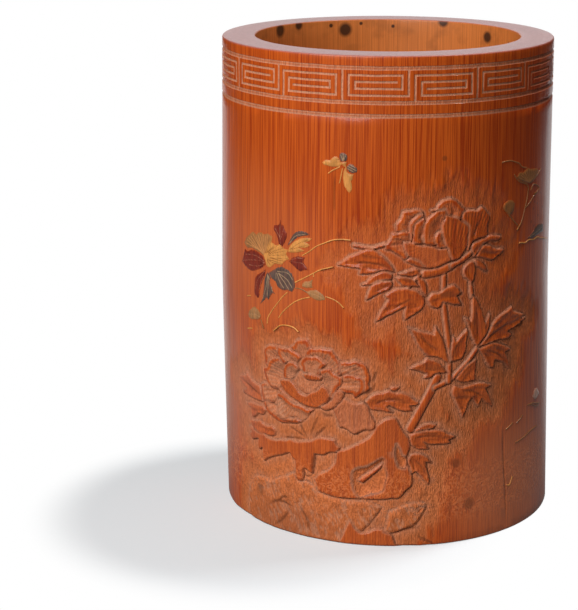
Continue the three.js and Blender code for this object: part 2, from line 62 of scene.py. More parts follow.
# The culm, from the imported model: the width across is its diameter, the width sideways adds the sweep
CULM_LOW, CULM_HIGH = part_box("bamboo_culm")
HEIGHT = (CULM_HIGH[2] - CULM_LOW[2]) / MM
BASE_RADIUS = (CULM_HIGH[1] - CULM_LOW[1]) / 2 / MM
RIM_RADIUS = BASE_RADIUS - 0.8
TAPER_START = 60
SWEEP = 1.7
SWEEP_HEIGHT = 78
RIM_WALL = 10.7
FOOT_WALL = 12.2
FOOT_OPENING_WALL = 10.5
NODE_TOP = 15
NODE_THICKNESS = 5
NODE_DISH = 1.2
NODE_FILLET = 3
WORN_EDGE = 0.5

# The border's rings, heights to their lower edges, and the fret between them
GROOVE_DEPTH = 0.18
LOWER_RING = (HEIGHT - 18.7, 1.3)
BORDER_FOOT = (HEIGHT - 14.6, 1.2)
BORDER_HEAD = (HEIGHT - 4.3, 1.2)
FRET_REPEATS = 8
FRET_LINE = 0.64
FRET_PITCH = 2.0
FRET_FIRST = -13.6

# The skin is meshed in coarse cells, and those that hold carving are cut finer
COARSE_COLUMNS = 128
COARSE_ROWS = 52
FINE = 8
SPLIT_LIMITS = {"drop": 0.045, "cut": 0.28, "patina": 0.28}  # how badly a coarser cell may show each field
WALL_FOOT = 0.6
WALL_HEAD = LOWER_RING[0] - 0.1

# How far the carving reaches round and up
CARVED_ALONG = (-66, 80)
CARVED_HEIGHT = (WALL_FOOT, 126)


def length_value(name, description, millimetres):
    """A length that a user may change, given in millimetres."""
    return bpy.props.FloatProperty(
        name=name, description=description, default=millimetres * MM, unit="LENGTH", precision=5
    )


def share_value(name, description, default):
    """A share from 0 to 1 that a user may change."""
    return bpy.props.FloatProperty(name=name, description=description, default=default, min=0, max=1)


def colour_value(name, description, default):
    """A linear colour that a user may change."""
    return bpy.props.FloatVectorProperty(
        name=name, description=description, default=default, size=3, subtype="COLOR", min=0, max=1
    )


class PotCarving(bpy.types.PropertyGroup):
    """Depths of the cuts."""

    ground_depth: length_value("Ground depth", "How far the ground is cut back beside a form", 0.68)
    crease_depth: length_value("Crease depth", "The extra cut along a form's outline", 0.22)
    ground_reach: length_value("Ground reach", "How far the cut ground runs out from a form", 11)


class PotLacquer(bpy.types.PropertyGroup):
    """Sizes of the laid lacquer."""

    proud: length_value("Proud", "How far the lacquer stands above the skin", 0.22)
    sunk: length_value("Sunk", "How far the lacquer reaches below the skin", 0.3)
    stem_width: length_value("Stem width", "Width of a laid gold stem", 0.44)


class PotFinish(bpy.types.PropertyGroup):
    """Colours of the pot."""

    skin: colour_value("Skin", "The varnished skin", (0.66, 0.115, 0.012))
    skin_dark: colour_value("Dark fibres", "The darker fibres of the skin", (0.36, 0.038, 0.004))
    cut: colour_value("Cut", "Bamboo where the knife has opened it", (0.62, 0.172, 0.052))
    facet: colour_value("Facet", "The pale side of a cut", (0.68, 0.32, 0.19))
    # the crease colour: dark dirt, and painted shade where it lies on the side away from the light
    patina: colour_value("Patina", "The dark dirt in the creases", (0.12, 0.035, 0.012))
    bore: colour_value("Bore", "The inside wall", (0.74, 0.22, 0.045))
    # the rim's flat top: the end grain's colour with a painted mauve-grey sheen in it
    end_grain: colour_value("End grain", "The rim's flat top", (0.42, 0.22, 0.21))
    gold: colour_value("Gold lacquer", "Leaves and wings in gold", (0.80, 0.34, 0.085))
    olive: colour_value("Olive lacquer", "Leaves and buds in dull gold", (0.46, 0.22, 0.085))
    russet: colour_value("Russet lacquer", "Leaves in dark red", (0.22, 0.028, 0.018))
    slate: colour_value("Slate lacquer", "Leaves in grey-black", (0.12, 0.085, 0.07))
    shell: colour_value("Shell", "The pale piece low at the side", (0.74, 0.42, 0.31))


class PotStage(bpy.types.PropertyGroup):
    """Floor, lamps and camera."""

    lens: bpy.props.FloatProperty(name="Lens", description="Focal length in millimetres", default=111.46)
    floor_white: share_value("Floor white", "How much of the floor by the pot shows as plain white", 0.255)
    key_power: bpy.props.FloatProperty(name="Key", description="Power of the left lamp", default=13.6, unit="POWER")
    back_power: bpy.props.FloatProperty(name="Back", description="Power of the high lamp", default=4.0, unit="POWER")
    world_light: share_value("World", "Strength of the even light from all round", 0.025)


# The wall's shape


def outside_radius(height):
    """Outside radius in mm at a height."""
    share = np.clip((np.asarray(height, float) - TAPER_START) / (HEIGHT - TAPER_START), 0, 1)
    return BASE_RADIUS + (RIM_RADIUS - BASE_RADIUS) * share


def axis_shift(height):
    """Where the culm's axis stands sideways at a height, in mm."""
    return SWEEP * np.maximum(0, 1 - np.asarray(height, float) / SWEEP_HEIGHT) - SWEEP / 2


def on_wall(along, height, proud=0.0):
    """Points of the outside in metres, `proud` mm outwards of the skin."""
    angle = np.asarray(along, float) / BASE_RADIUS
    radius = outside_radius(height) + proud
    height = np.broadcast_to(np.asarray(height, float), angle.shape)
    x = axis_shift(height) + radius * np.sin(angle)
    return np.stack([x, -radius * np.cos(angle), height], axis=-1) * MM


# Drawing on the unrolled wall

CORNER_ANGLE = 58  # a line that turns further than this at a point keeps a corner there
LAID_STEP = 0.3  # mm between the points of a lacquer patch
FAR = 9.0  # mm, where a vein or an edge no longer shows

# Patches of random values: width and length in mm, and seed, which a form's own seed is added to
PATCH_GRID = 128
PATCHES = {
    "ragged": (2.2, 6, 3), "frayed": (0.8, 3.5, 4), "hewn": (1.6, 4.5, 5), "pale": (0.9, 2.2, 6),
    "curl": (0.55, 1.5, 12), "swell": (3.5, 2.5, 13),
    "outline": (0.7, 0.8, 0), "uneven": (2.4, 2.6, 50), "wander": (3, 5, 9), "leaf": (0.75, 4.5, 9),
    "grain": (0.55, 7, 9),
}


def ease(low, high, value):
    """0 below low, 1 above high, and a smooth step between them."""
    share = np.clip((value - low) / (high - low), 0, 1)
    return share * share * (3 - 2 * share)


def flowing(points, closed=True, steps=4):
    """A smooth line through points given in pairs, with a corner kept wherever it turns sharply."""
    points = np.reshape(points, (-1, 2)).astype(float)
    arriving = points - np.roll(points, 1, axis=0)
    leaving = np.roll(points, -1, axis=0) - points
    if not closed:
        arriving[0] = leaving[0]
        leaving[-1] = arriving[-1]
    length = np.linalg.norm(leaving, axis=1)[:, None] + 1e-9
    arriving /= np.linalg.norm(arriving, axis=1)[:, None] + 1e-9
    leaving /= length
    corner = (arriving * leaving).sum(axis=1) < math.cos(math.radians(CORNER_ANGLE))
    middle = arriving + leaving
    middle /= np.linalg.norm(middle, axis=1)[:, None] + 1e-9
    line = []
    for i in range(len(points) if closed else len(points) - 1):
        j = (i + 1) % len(points)
        start = (leaving[i] if corner[i] else middle[i]) * length[i]
        end = (leaving[i] if corner[j] else middle[j]) * length[i]
        for t in np.arange(steps) / steps:
            line.append(
                (2 * t**3 - 3 * t**2 + 1) * points[i] + (t**3 - 2 * t**2 + t) * start
                + (3 * t**2 - 2 * t**3) * points[j] + (t**3 - t**2) * end
            )
    if not closed:
        line.append(points[-1])
    return np.array(line)


def segment_gaps(start, run, along, height):
    """Distance in mm from each point to each of some segments, and how far along each that is, 0 to 1."""
    x, z = along[..., None] - start[:, 0], height[..., None] - start[:, 1]
    share = np.clip((x * run[:, 0] + z * run[:, 1]) / ((run**2).sum(axis=1) + 1e-12), 0, 1)
    return np.hypot(x - share * run[:, 0], z - share * run[:, 1]), share


def reach_inside(outline, along, height):
    """How far inside a closed outline each point lies in mm, negative outside."""
    end = np.roll(outline, -1, axis=0)
    run = end - outline
    gap = segment_gaps(outline, run, along, height)[0].min(axis=-1)
    x, z = along[..., None], height[..., None]
    rise = np.where(run[:, 1] == 0, 1e-12, run[:, 1])
    crossed = ((outline[:, 1] > z) != (end[:, 1] > z)) & (x < run[:, 0] * (z - outline[:, 1]) / rise + outline[:, 0])
    return np.where(crossed.sum(axis=-1) % 2 == 1, gap, -gap)


def gap_to_line(line, along, height):
    """Distance in mm from each point to an open line, and how far along the line that is, 0 to 1."""
    gaps, share = segment_gaps(line[:-1], line[1:] - line[:-1], along, height)
    nearest = gaps.argmin(axis=-1)[..., None]
    gap, share = (np.take_along_axis(values, nearest, axis=-1)[..., 0] for values in (gaps, share))
    return gap, (nearest[..., 0] + share) / (len(line) - 1)


def patches(kind, along, height, seed=0):
    """Smooth random values from 0 to 1, in patches of one of the PATCHES' sizes."""
    width, length, own_seed = PATCHES[kind]
    size = PATCH_GRID
    grid = np.random.default_rng(seed + own_seed).random((size, size))
    x, y = along / width, height / length
    column, row = np.floor(x).astype(int), np.floor(y).astype(int)
    right, up = ease(0, 1, x - column), ease(0, 1, y - row)
    corners = [grid[(column + i) % size, (row + j) % size] for i in (0, 1) for j in (0, 1)]
    low = corners[0] * (1 - right) + corners[2] * right
    high = corners[1] * (1 - right) + corners[3] * right
    return low * (1 - up) + high * up


# The carved forms: kind, and outline as along,height pairs. Each group is listed from the back to the
# front, as one form is cut over another.

UPPER_BLOOM = [
    ("petal", [14.2,108, 16,108.6, 16.5,109.6, 17.4,110.5, 18.5,111, 20.5,111.4, 21.6,111, 23,110, 24.3,108.7,
        25.8,107.3, 24.7,106.4, 24,104.6, 22.9,105.2, 21.3,105.9, 19.2,106.6, 18.8,108, 16.3,107.9]),
    ("petal", [3.6,102, 3.6,104.2, 4.9,105.8, 5.5,108, 7.5,108.1, 8.6,108.4, 10.8,108.1, 11.9,107.6, 11.7,106.8,
        9,106.2, 7.7,104.6, 7.4,101.6, 6,101.8, 4.5,101.8]),
    ("face", [25.2,106.8, 26.3,107.3, 28.5,107.2, 30.1,107, 31.5,107.8, 32.5,107.3, 33.7,106, 34.8,105, 34.5,103.5,
        34,101.5, 34.2,99, 33,98.4, 31,98.2, 28.9,97.7, 27.5,96, 27,94.5, 26.3,96, 26.7,102.2, 25.8,103.2, 24.4,105]),
    ("lip", [7.9,98.3, 7.6,101, 7.7,104, 8.6,105.6, 10,106.8, 11.8,107.3, 12,106.2, 10.5,105, 9.3,104.2, 8.9,102.5,
        8.5,100.5, 8.1,98.8]),
    ("petal", [8.6,98, 8.9,101, 9.4,104, 10.8,105, 12,106, 12.4,104.3, 12.1,101, 12.3,97.9]),
    ("petal", [12.3,97.9, 12.1,101, 12.5,104.3, 13.6,105.8, 15.2,107, 16.3,107.8, 18.8,108, 19.2,106.5, 17.8,104,
        17.2,102, 16,101, 15.8,99, 16.3,97.2]),
    ("petal", [0.2,97.2, 1.1,98.5, 1.8,99.6, 2.4,101.1, 4,101.3, 5.8,101.8, 7.3,101.4, 7.5,98.6, 6,98.4, 6.4,96.6,
        8,95.3, 7.6,94, 6.5,93, 5,94.2, 3.6,95.1, 1.8,96.1, 0.3,96.3]),
    ("petal", [17.8,101.5, 16.3,100.8, 15.8,99, 16.3,97.2, 17.3,95.9, 18,96.2, 19.9,96, 19.6,98]),
    ("face", [19.2,106.3, 21,105.8, 23,105.2, 24.3,104.2, 25.8,103.2, 26.7,102.2, 26.5,99, 26.3,96, 25,94, 23.5,92.5,
        21.3,92, 20.3,94, 19.8,96, 18.6,99, 18,103]),
    ("face", [6.5,92.7, 7.5,93.5, 8.5,93.8, 10,93.3, 11.5,92.2, 12.5,91, 13.4,90.2, 11,90.7, 9.8,91.2, 8,92]),
    ("lip", [5.9,98.4, 8.5,98.1, 10.5,97.3, 13,97, 15,96.6, 17,95.8, 18,96, 19.6,95.8, 20.2,94.3, 21.2,92, 18.3,91.1,
        17,90.5, 15.5,90.2, 13.3,90.3, 12.2,91.3, 11,92.7, 9.5,93.5, 8,93.9, 6.6,95.6]),
]

UPPER_LEAVES = [
    ("leaf", [28.2,95.6, 28.8,96.8, 31,97.4, 34.2,98.5, 37.4,98.3, 40,97.5, 38,96.6, 36,97, 33.2,96.3, 32,95.2,
        30.6,93.8, 29.2,92.6]),
    ("leaf", [30.2,92.6, 31.2,94.4, 32.6,96, 35,95.4, 37.4,94.2, 41,93.6, 40.6,92.6, 38.6,91.8, 36.4,90.8, 34,91.4,
        32,92]),
    ("leaf", [28.4,91.6, 30.4,91.4, 32.4,90.4, 33.8,88.8, 34.4,87.2, 32.6,88.2, 31.2,89, 30,89.6, 29.4,90.6]),
    ("leaf", [27.6,91, 26.2,90.2, 25.4,88.4, 26,86.6, 27.4,85.4, 28.2,84, 29.2,85.6, 29.7,88, 29.5,90.2, 28.6,91.2]),
    ("leaf", [3.6,87.4, 5.6,87.7, 8,87.2, 9.8,86, 10.9,84.4, 8.6,84.9, 6.2,84.9, 4.8,86]),
    ("leaf", [10.2,88.2, 11.2,87, 12.2,86.6, 13,85, 13.3,83, 13.2,81.5, 12.2,82.8, 11.2,84.5, 10.3,86.8]),
    ("leaf", [4.6,88.6, 6.5,89.3, 8.5,89.9, 10.2,90, 11,88.5, 8,87.9]),
    ("leaf", [-14.6,90.9, -12.4,92.4, -10.2,94.1, -7.6,95.1, -5.6,96.1, -3.4,96.2, -1.6,94.9, 0.4,93.2, 2,91.3,
        3.2,89.2, 0.8,89.8, -2.6,89.2, -5.2,88.6, -7.8,88.4, -7.2,90.1, -10.6,90.4]),
    ("leaf", [-7,84.9, -5.3,86, -4,87.5, -2.5,88.6, -1,89.3, 1,89.2, 2.4,88.6, 2.2,86.8, 0,86.6, -2,85.8, -4,85.2]),
    ("leaf", [-5.4,80.3, -4.9,82.5, -3.8,84.9, -2,86, 0,86.4, 2.2,86.6, 2.5,85.5, 1.6,84, 0,83.2, -1.3,82.6, -3,81.9,
        -4.3,80.9]),
    ("leaf", [-2.6,73.4, -1.2,76.2, 0.4,78.8, 1.4,80.6, 0.4,81.7, 2.2,83.3, 4.8,84.1, 8.2,83.8, 10.8,82.6, 12.7,80.2,
        11.8,77.6, 9.6,76, 6.5,74.2, 6.4,76.6, 7.1,78.6, 4.2,77.1, 0.8,75.4]),
    ("leaf", [13.8,80.6, 14.9,82, 17.6,82.2, 19.6,83.5, 21.6,84.2, 23.6,83.2, 24.9,81.3, 23.4,80.8, 25,77.8, 21.8,78.4,
        18.6,79.4, 17.6,77.8, 15.4,77.8, 14.2,79.2]),
]

PLANT_LEAVES = [
    ("leaf", [7.8,71.6, 10.5,70.5, 13.2,69.7, 15.8,69.1, 16.2,71.5, 17.8,68.9, 19,66, 19.9,63, 20.3,59.5, 19.2,60.3,
        18,61.3, 16,62, 13.8,62.4, 12.2,64, 10.4,66.6, 9.2,69.2]),
    ("leaf", [7.6,58.6, 9.8,59.7, 11.8,60.2, 13.2,61.6, 15.4,60.9, 17.4,59.7, 19,58, 20.3,56.6, 18.2,56.6, 16,56.5,
        14.6,55.4, 12.4,55.3, 13.2,56.8, 10.6,57.8]),
    ("leaf", [22.2,67.8, 23,66.3, 25,68.2, 27,69.8, 27.3,68, 26.5,65.5, 26.3,63, 25.3,61, 23.5,60.2, 21.3,60, 21.2,62.5,
        21.4,65]),
    ("leaf", [29,80.3, 30.8,78.4, 32.2,75.6, 33.2,72.6, 33.8,70.6, 35.7,74, 35.7,71.2, 34.9,68, 33,66, 30.6,63.8,
        29.4,65.6, 28.2,68.6, 27.2,71.6, 26.2,73.4, 28.4,72.2, 28.8,74, 28.9,77]),
    ("leaf", [31,63.6, 33.2,65.2, 35.2,67.6, 37.2,70.4, 39.4,71.9, 42.6,73, 45.8,74.3, 46.4,72.6, 49,71.6, 52.2,70.3,
        50.4,69.5, 53.9,68.9, 50,68, 46.6,67.2, 43.4,66.6, 46,65, 42.4,64.2, 38.8,64.7, 35.6,64]),
    ("leaf", [31.2,62.8, 34,63.5, 37.5,63.9, 40.6,62.9, 45.2,60.4, 42.2,60, 43.5,58, 44.4,54.2, 41.8,56.6, 39.4,57.8,
        37.6,58.2, 37.4,55.8, 35.6,56.2, 34.4,58, 33.2,60.2]),
    ("leaf", [23,54.2, 25,56.6, 27.2,58.4, 30.4,60, 30.2,57.6, 29.8,55.2, 30,53, 27,52.8, 24.8,53]),
    ("leaf", [22.4,52.2, 25,51.2, 28,51.6, 31,51.9, 34.2,51.3, 36.4,50.2, 34,49.6, 35.2,47.4, 36.9,43.2, 34.4,44.8,
        32.4,46.6, 31.2,44, 30,45.4, 28.8,47.4, 27.4,46, 26.8,44.2, 25.4,41.2, 24.2,44.2, 22.6,47.6, 21.6,50]),
]

LOWER_BLOOM = [
    ("petal", [-31.2,62.6, -29.8,63.4, -28.9,65, -27,65.5, -25,66, -24,64.2, -23.4,63.4, -24.8,62.9, -25.6,61.4,
        -26.6,60, -28,60.8, -29.6,61.6]),
    ("petal", [-42.6,59.2, -41.6,60.6, -40,61.4, -37.6,61.8, -36,62, -35.8,60.4, -36.6,59, -36,58, -38,57.6, -39.6,56.8,
        -40.4,55, -41.4,54.4, -42.3,55, -42.2,57]),
    ("petal", [-25.2,62, -23.8,63.3, -22,63.4, -20.5,63.7, -18.5,63.6, -17,63.6, -16,62.5, -15,61, -14,59.9, -13.6,58,
        -13.8,55.8, -14.8,55.4, -16,56.4, -17.4,57.4, -18,58.8, -19.2,59.5, -20.5,60.4, -22,60.9, -24,60.4,
        -25.5,60.3]),
    ("petal", [-13.8,60, -12,60.2, -10.4,60.3, -9.6,60.7, -7.4,60.2, -5.8,59.4, -5,57.4, -4.6,55.6, -5,53.4, -4.6,52,
        -6.2,50.8, -7.8,50, -6.6,52.4, -7,54.6, -8.2,55.6, -10,56, -11.6,56.3, -13.2,55.4, -13.6,57.6]),
    ("petal", [-36.2,61.8, -34,61.7, -31.8,61.9, -30.2,61.3, -28.6,60.9, -27.3,59.8, -28.2,59, -29,57.8, -30.6,57.6,
        -32.4,57.6, -34,56.6, -35.4,57.6, -35.9,58.6, -36.4,60]),
    ("petal", [-43.2,53.4, -41.2,54, -40.2,56.2, -38.2,57.5, -36,58.1, -34.8,56.6, -34,54.6, -34.2,52, -35.6,50.8,
        -35.8,48.6, -37.4,47.5, -39.8,47.6, -41.6,49.6, -42.6,51.4]),
    ("petal", [-27.4,58.2, -26.4,59.6, -25.2,60.4, -23.4,60.6, -21.8,60.9, -20.4,60.2, -18.6,58.8, -20.2,57, -21,54.8,
        -22.6,54.2, -24.8,54.5, -26.6,55.6, -27,57]),
    ("petal", [-34,52, -34.2,54.2, -33.6,56.2, -32.2,57.3, -30.4,57.7, -29,57, -28.6,55.2, -29.4,53.6, -30.6,52.6,
        -31.2,51.4, -32.6,51.2]),
    ("petal", [-13.4,55, -11.4,56.3, -9.8,55.9, -7.4,55.4, -6.4,53, -7.2,50.6, -9.2,48.9, -10,50.2, -12.2,50.2,
        -14.4,50.6, -15,51.8, -13.6,53.6]),
    ("petal", [-20.6,56.4, -19.2,57, -17.4,57.6, -16.2,56.2, -14.4,55.4, -13.4,54.8, -13.6,53, -14.8,51.6, -15.8,49.2,
        -17,47.4, -17.8,49, -17.6,51.6, -19.2,53.6, -20.2,55]),
    ("heart", [-30.8,51.6, -29.4,53.4, -28,55.4, -26.2,54.4, -24,54.2, -21.4,54.2, -19.8,53, -20.6,51.2, -22.6,49.6,
        -25.2,48.2, -27.6,49, -29.2,50.2]),
    ("face", [-26.8,54.6, -24.6,54.9, -22,54.8, -20.2,54.3, -20.6,53.4, -23,53.2, -25.6,53.1]),
    ("face", [-36,50.8, -34.2,51.4, -31.2,51.3, -29.6,50, -28.2,48.4, -26,47.6, -23.8,48.8, -21.6,50, -20,51.8,
        -18.6,50.8, -17.6,48.4, -18.8,46.2, -20.8,44.6, -23.6,44.2, -26.6,44.4, -29.6,45.6, -32.4,46.8, -34.6,48.4]),
    ("lip", [-36,48.6, -33,46.4, -29.8,44.8, -26.4,43.9, -25.4,43.2, -28,42.6, -32,43.6, -34.8,45.4, -36.6,47.4]),
    ("lip", [-20.8,44.4, -18.8,45.6, -17,47.2, -15.6,49.6, -14.6,51, -13,50, -13.4,48.2, -15,46.2, -17,44.4,
        -19.4,43.8]),
    ("petal", [-44.6,47.6, -43.2,48.4, -40.6,48.2, -39.4,47.6, -36.4,47.6, -37.4,45.8, -38.6,43.4, -40.4,42.2,
        -43.4,42.4, -44.2,45]),
    ("petal", [-43.6,42, -41,42.6, -38.4,41.8, -35.8,40.2, -33,39, -30,39.4, -27,39, -29.4,38, -32.6,37.4, -35.8,37,
        -38.8,37.8, -41.6,39]),
    ("cup", [-37.4,44, -37,46, -35.9,46.6, -32.1,44.8, -30.1,44.1, -27.2,43.8, -25.5,43.2, -23.2,43.4, -24.4,42.2,
        -25.8,40.5, -27.2,39.4, -30.1,39.8, -33,39.2, -35,38.6, -37.4,40.2]),
]

LOWER_LEAVES = [
    ("leaf", [-58.6,46.6, -55.6,47.9, -52.8,48.4, -53,50, -50,47.9, -47.4,47.1, -45.4,46.9, -44.2,45, -43.6,43,
        -42.8,42, -46,41.8, -50,41.9, -56,42.2, -53,44.2, -56.2,45.2]),
    ("leaf", [-53.6,38.9, -50,40, -46.5,40.1, -43.9,40.3, -42.8,39.4, -43.6,38.2, -45.2,37.3, -46.5,37.4, -48.2,36,
        -50,35.2, -50.3,36.6, -50.6,38.2]),
    ("leaf", [-51.4,34, -47.4,34.6, -45.4,35, -43.6,34.2, -41.6,34.2, -39.9,34.5, -38.7,33.9, -38.5,32.7, -39.3,31.6,
        -41.6,31.3, -43.6,31.3, -47,31.2, -50,32.2]),
    ("leaf", [-6,47.6, -4.4,49.4, -2.8,50.5, -0.6,50.8, 1.6,51.6, 3.4,50.8, 5.6,50.7, 7.6,49.6, 9.6,48.2, 11.2,47.2,
        9,46.6, 7.8,46.6, 8.7,45, 6.6,44.9, 4,45.4, 1.4,46.7, 0.4,46.2, 2.6,44.4, 0,44.8, -3,45.2, -4.4,45.4,
        -5.2,46.4]),
    ("leaf", [2.4,52.8, 4.6,52.7, 4,52, 2.8,51.5, 1.8,52]),
    ("lobe", [-16.4,44.6, -14.6,46.6, -12.8,48.2, -10.6,47.2, -8.6,46.9, -6.8,47.3, -5.2,45.6, -4.4,43.4, -3,40.4,
        -3.8,38.8, -6.4,38.5, -9.8,36.9, -12.2,38.4, -14.4,38.8, -15.2,41.2, -15.8,42.8]),
]

ROCKS = [
    ("skin", [-43.8,31, -41.8,30.3, -39.9,30.2, -37.6,30.4, -35.9,31, -33.9,31.2, -32.1,31.9, -29.3,31.6, -27.2,32.2,
        -24.9,32.7, -23.8,33, -22.1,34, -20.1,34.5, -18,34.5, -16,34.2, -15.7,33, -14.6,31.9, -15.3,30.3, -18.6,29.9,
        -19.8,29, -23.1,28.8, -23.2,27.6, -23.5,24.7, -24.1,22.1, -25.2,22.6, -26.4,23.2, -27,23.6, -27.6,22.2,
        -27.4,20.6, -28,19, -29.6,18.9, -30.2,20.6, -30.2,23, -30.4,25.5, -31.6,26.1, -32.4,27.3, -33,27.3, -35.9,26,
        -38.7,25, -40.8,24.1, -42.5,23.1, -44.3,21.9, -44.7,24, -44.4,26.2, -45.4,25.9, -46.5,25.3, -47.1,27,
        -46.5,28.9, -48.3,28.4, -50.4,27.5, -51.8,29.2, -50.4,30.2, -52.2,31.3, -49.6,31.5, -46.8,31.5]),
    ("skin", [-23.2,20.1, -21.5,22.1, -18.6,23.8, -16.6,25.8, -15.5,28.4, -15.3,30.2, -12.3,31.7, -9,33.5, -5,36,
        -3,38.8, -2.6,39.7, -1,41.3, 0.3,42.2, 2.2,42.6, 3.2,42.5, 4,41.5, 5,39.5, 6,37.7, 7.2,36.2, 7.8,34.8, 7.8,33,
        7,31, 6.6,29.5, 6.8,27.5, 8,25.5, 8,20, 6.5,18.8, 5,17, 3.8,16.2, 1.8,16.1, -0.2,15.8, -9.2,15.6, -16,15.4,
        -22,16.6]),
    ("hollow", [-10.2,24.4, -8.6,25.6, -6,26.2, -3.4,27.8, -1,29.4, -0.2,28.6, -0.4,26.8, 0.2,24, -0.4,21, -1.4,18.4,
        -4.6,17.6, -8,16, -9.4,17.4, -10.2,19.6, -10.4,22]),
    ("tongue", [-8.6,21.6, -6.6,23.2, -3.4,25.6, -0.8,27.6, -1.6,26, -4.6,23.2, -7.2,20.8]),
    ("hollow", [3.6,34, 4.4,32.4, 5.2,30.4, 6.4,29.4, 6.6,27.4, 6,26.1, 4.6,26.6, 3.7,28.4, 3.3,31]),
    ("leaf", [8.4,38.2, 10.4,39.2, 12.4,40.2, 14.4,40.4, 16.6,39.9, 14.8,38.6, 12,38.4, 9.6,37.6]),
    ("leaf", [8.2,37.2, 11.6,38, 15,38.2, 17.8,38, 19.6,37, 23,35.2, 20.4,34.6, 21.2,33.4, 17.4,33.4, 14,33.8,
        12.2,34.6, 13.8,32.2, 10.8,32.3, 8.4,33.6, 8,35.4]),
    ("leaf", [8.2,30.6, 10.2,30.8, 12.4,30.1, 13.6,29, 15,27.4, 12.8,28, 13.2,25.6, 13.9,22.6, 13.8,20.4, 11.8,22.6,
        9.8,25, 8.4,24.2, 8,26, 7.2,28.4]),
]

EARTH = [
    ("earth", [-50,14.6, -47.7,15.5, -44.5,15.9, -41.6,15.8, -39.9,16.2, -38.5,17.2, -35.9,18.1, -34.4,18.9, -33,19.8,
        -30.7,20.8, -30.1,18.1, -28.2,18.3, -25.6,18.6, -22,16, -12,14.6, -6,14.4, -1.4,13, -2.5,11, -4,9, -8,4.5,
        -12,3, -14,-2, -52,-2, -54,6]),
    ("skin", [-11.5,8, -10,5.5, -8,4, -5.5,4.5, -3.5,5.5, -0.5,5.3, 1.5,4, 2.5,2, 3.5,-2, -16,-2]),
    ("earth", [-0.5,5, 0.5,8, 1,11.5, 4,12.7, 6.5,13.7, 9,14.2, 12.5,13.9, 13,13, 12.4,11.6, 11,9.4, 9.4,7.2, 6,5.6,
        2,4.4]),
    ("hollow", [9.5,10.5, 10.4,12, 12.5,13, 11.6,11.2]),
]

# Stems: width in mm, and the line
STEMS = [
    (2.4, [8,39, 10.5,43.5, 13,48, 15,51.5, 16.8,55.5]),
    (1.4, [16,52, 18.5,53, 21,54, 24,56.5, 27.5,59.5, 30,62.3, 31.5,63.8]),
    (1.5, [20.6,53.5, 20.7,57, 20.8,62, 20.3,68, 19.6,74, 19,80, 18.9,88]),
    (1.2, [28.2,84.6, 28.5,82, 28.8,80]),
    (2.4, [12.6,88.4, 17,89, 21.5,90.5]),
    (1.5, [21.5,90.5, 25,92, 28,94, 31,96, 32.3,96.6]),
    (1.1, [11,88.4, 9,86, 6,82.6, 4.6,80]),
    (0.9, [-9.5,97.2, -6.4,96.8, -4,96.6, -1.6,97.2, 0.3,97.8]),
]

# Knife lines: width in mm, depth in mm, and the line
KNIFE_LINES = [
    (0.6, 0.3, [-26,33.4, -29.6,35, -32.8,36.2]),
    (0.6, 0.3, [-25.7,33.6, -27.5,36, -28.7,38.3]),
    (0.6, 0.3, [-25.1,33.7, -23.5,37.2, -21.3,42.2]),
    (0.6, 0.3, [-26.5,32.9, -30.8,32.6, -35.9,31.8]),
    (0.6, 0.3, [-38.8,39.6, -34.7,37.8, -29.6,38.1]),
    (0.9, 0.3, [-33,8.1, -35.9,4.1, -40.2,0.8]),
    (0.9, 0.3, [-42.9,7, -37.7,9.8, -30.8,9.1]),
    (0.9, 0.3, [-29.5,10.3, -26.6,6.3, -25.6,1.8]),
    (0.8, 0.35, [31.2,104, 30,102, 29,99.6, 28.4,98]),
    (0.7, 0.35, [11.2,101.8, 11,100, 11.5,98.5, 12.3,97.8]),
    (0.9, 0.35, [-2.1,58, -3,55.5, -4,53.5]),
    (0.9, 0.35, [-2.9,53.8, -3.9,51.5, -5,50.6, -7.5,49.8]),
    (0.7, 0.4, [-23.8,33.3, -22,35.3, -20.5,36.8, -18.6,38.5]),
    (1.0, 0.35, [-24.1,22, -23.6,25.5, -23.2,28.9]),
    (0.6, 0.3, [-27,23.6, -27.4,22, -26.6,20.6, -25,20.9, -24.2,22]),
    (0.9, 0.35, [-20.5,43, -19.3,42, -17.6,42, -16.3,42.3]),
    (0.8, 0.3, [2,4, 6,5.5, 11,6]),
    (0.8, 0.3, [9.5,3.5, 13,1.5, 16,0]),
    (0.8, 0.3, [-38,9, -36,11.5, -33,12]),
    (0.5, 0.3, [-15.6,120, -15.8,113, -15.7,105]),
    (0.5, 0.3, [41.4,38, 41.4,31.8, 41.9,21, 42.5,15.5, 42.8,8, 42.6,0]),
    (0.7, 0.25, [3.2,89.6, -1,91.4, -6,92, -11,91.6]),
    (0.7, 0.25, [9.6,81, 6,79.6, 2.4,77.4]),
    (0.7, 0.25, [17.4,63.6, 14.2,66, 10.6,69.4]),
    (0.7, 0.25, [31,66, 31.2,71, 30,77]),
    (0.7, 0.25, [33,64.8, 39,67.6, 46,69.6]),
    (0.7, 0.25, [33.4,62, 38,60.6, 43,57]),
    (0.7, 0.25, [24,50.6, 29,49.4, 33.8,46.6]),
    (0.7, 0.25, [-4,46.6, 1,48.6, 7.4,48.2]),
    (0.7, 0.25, [-45.6,43.8, -50,45, -54.6,46.4]),
    (0.7, 0.25, [9,36, 13,36.4, 19.4,35.6]),
    (0.7, 0.25, [9,29, 11.6,26.4, 13.2,22.8]),
]

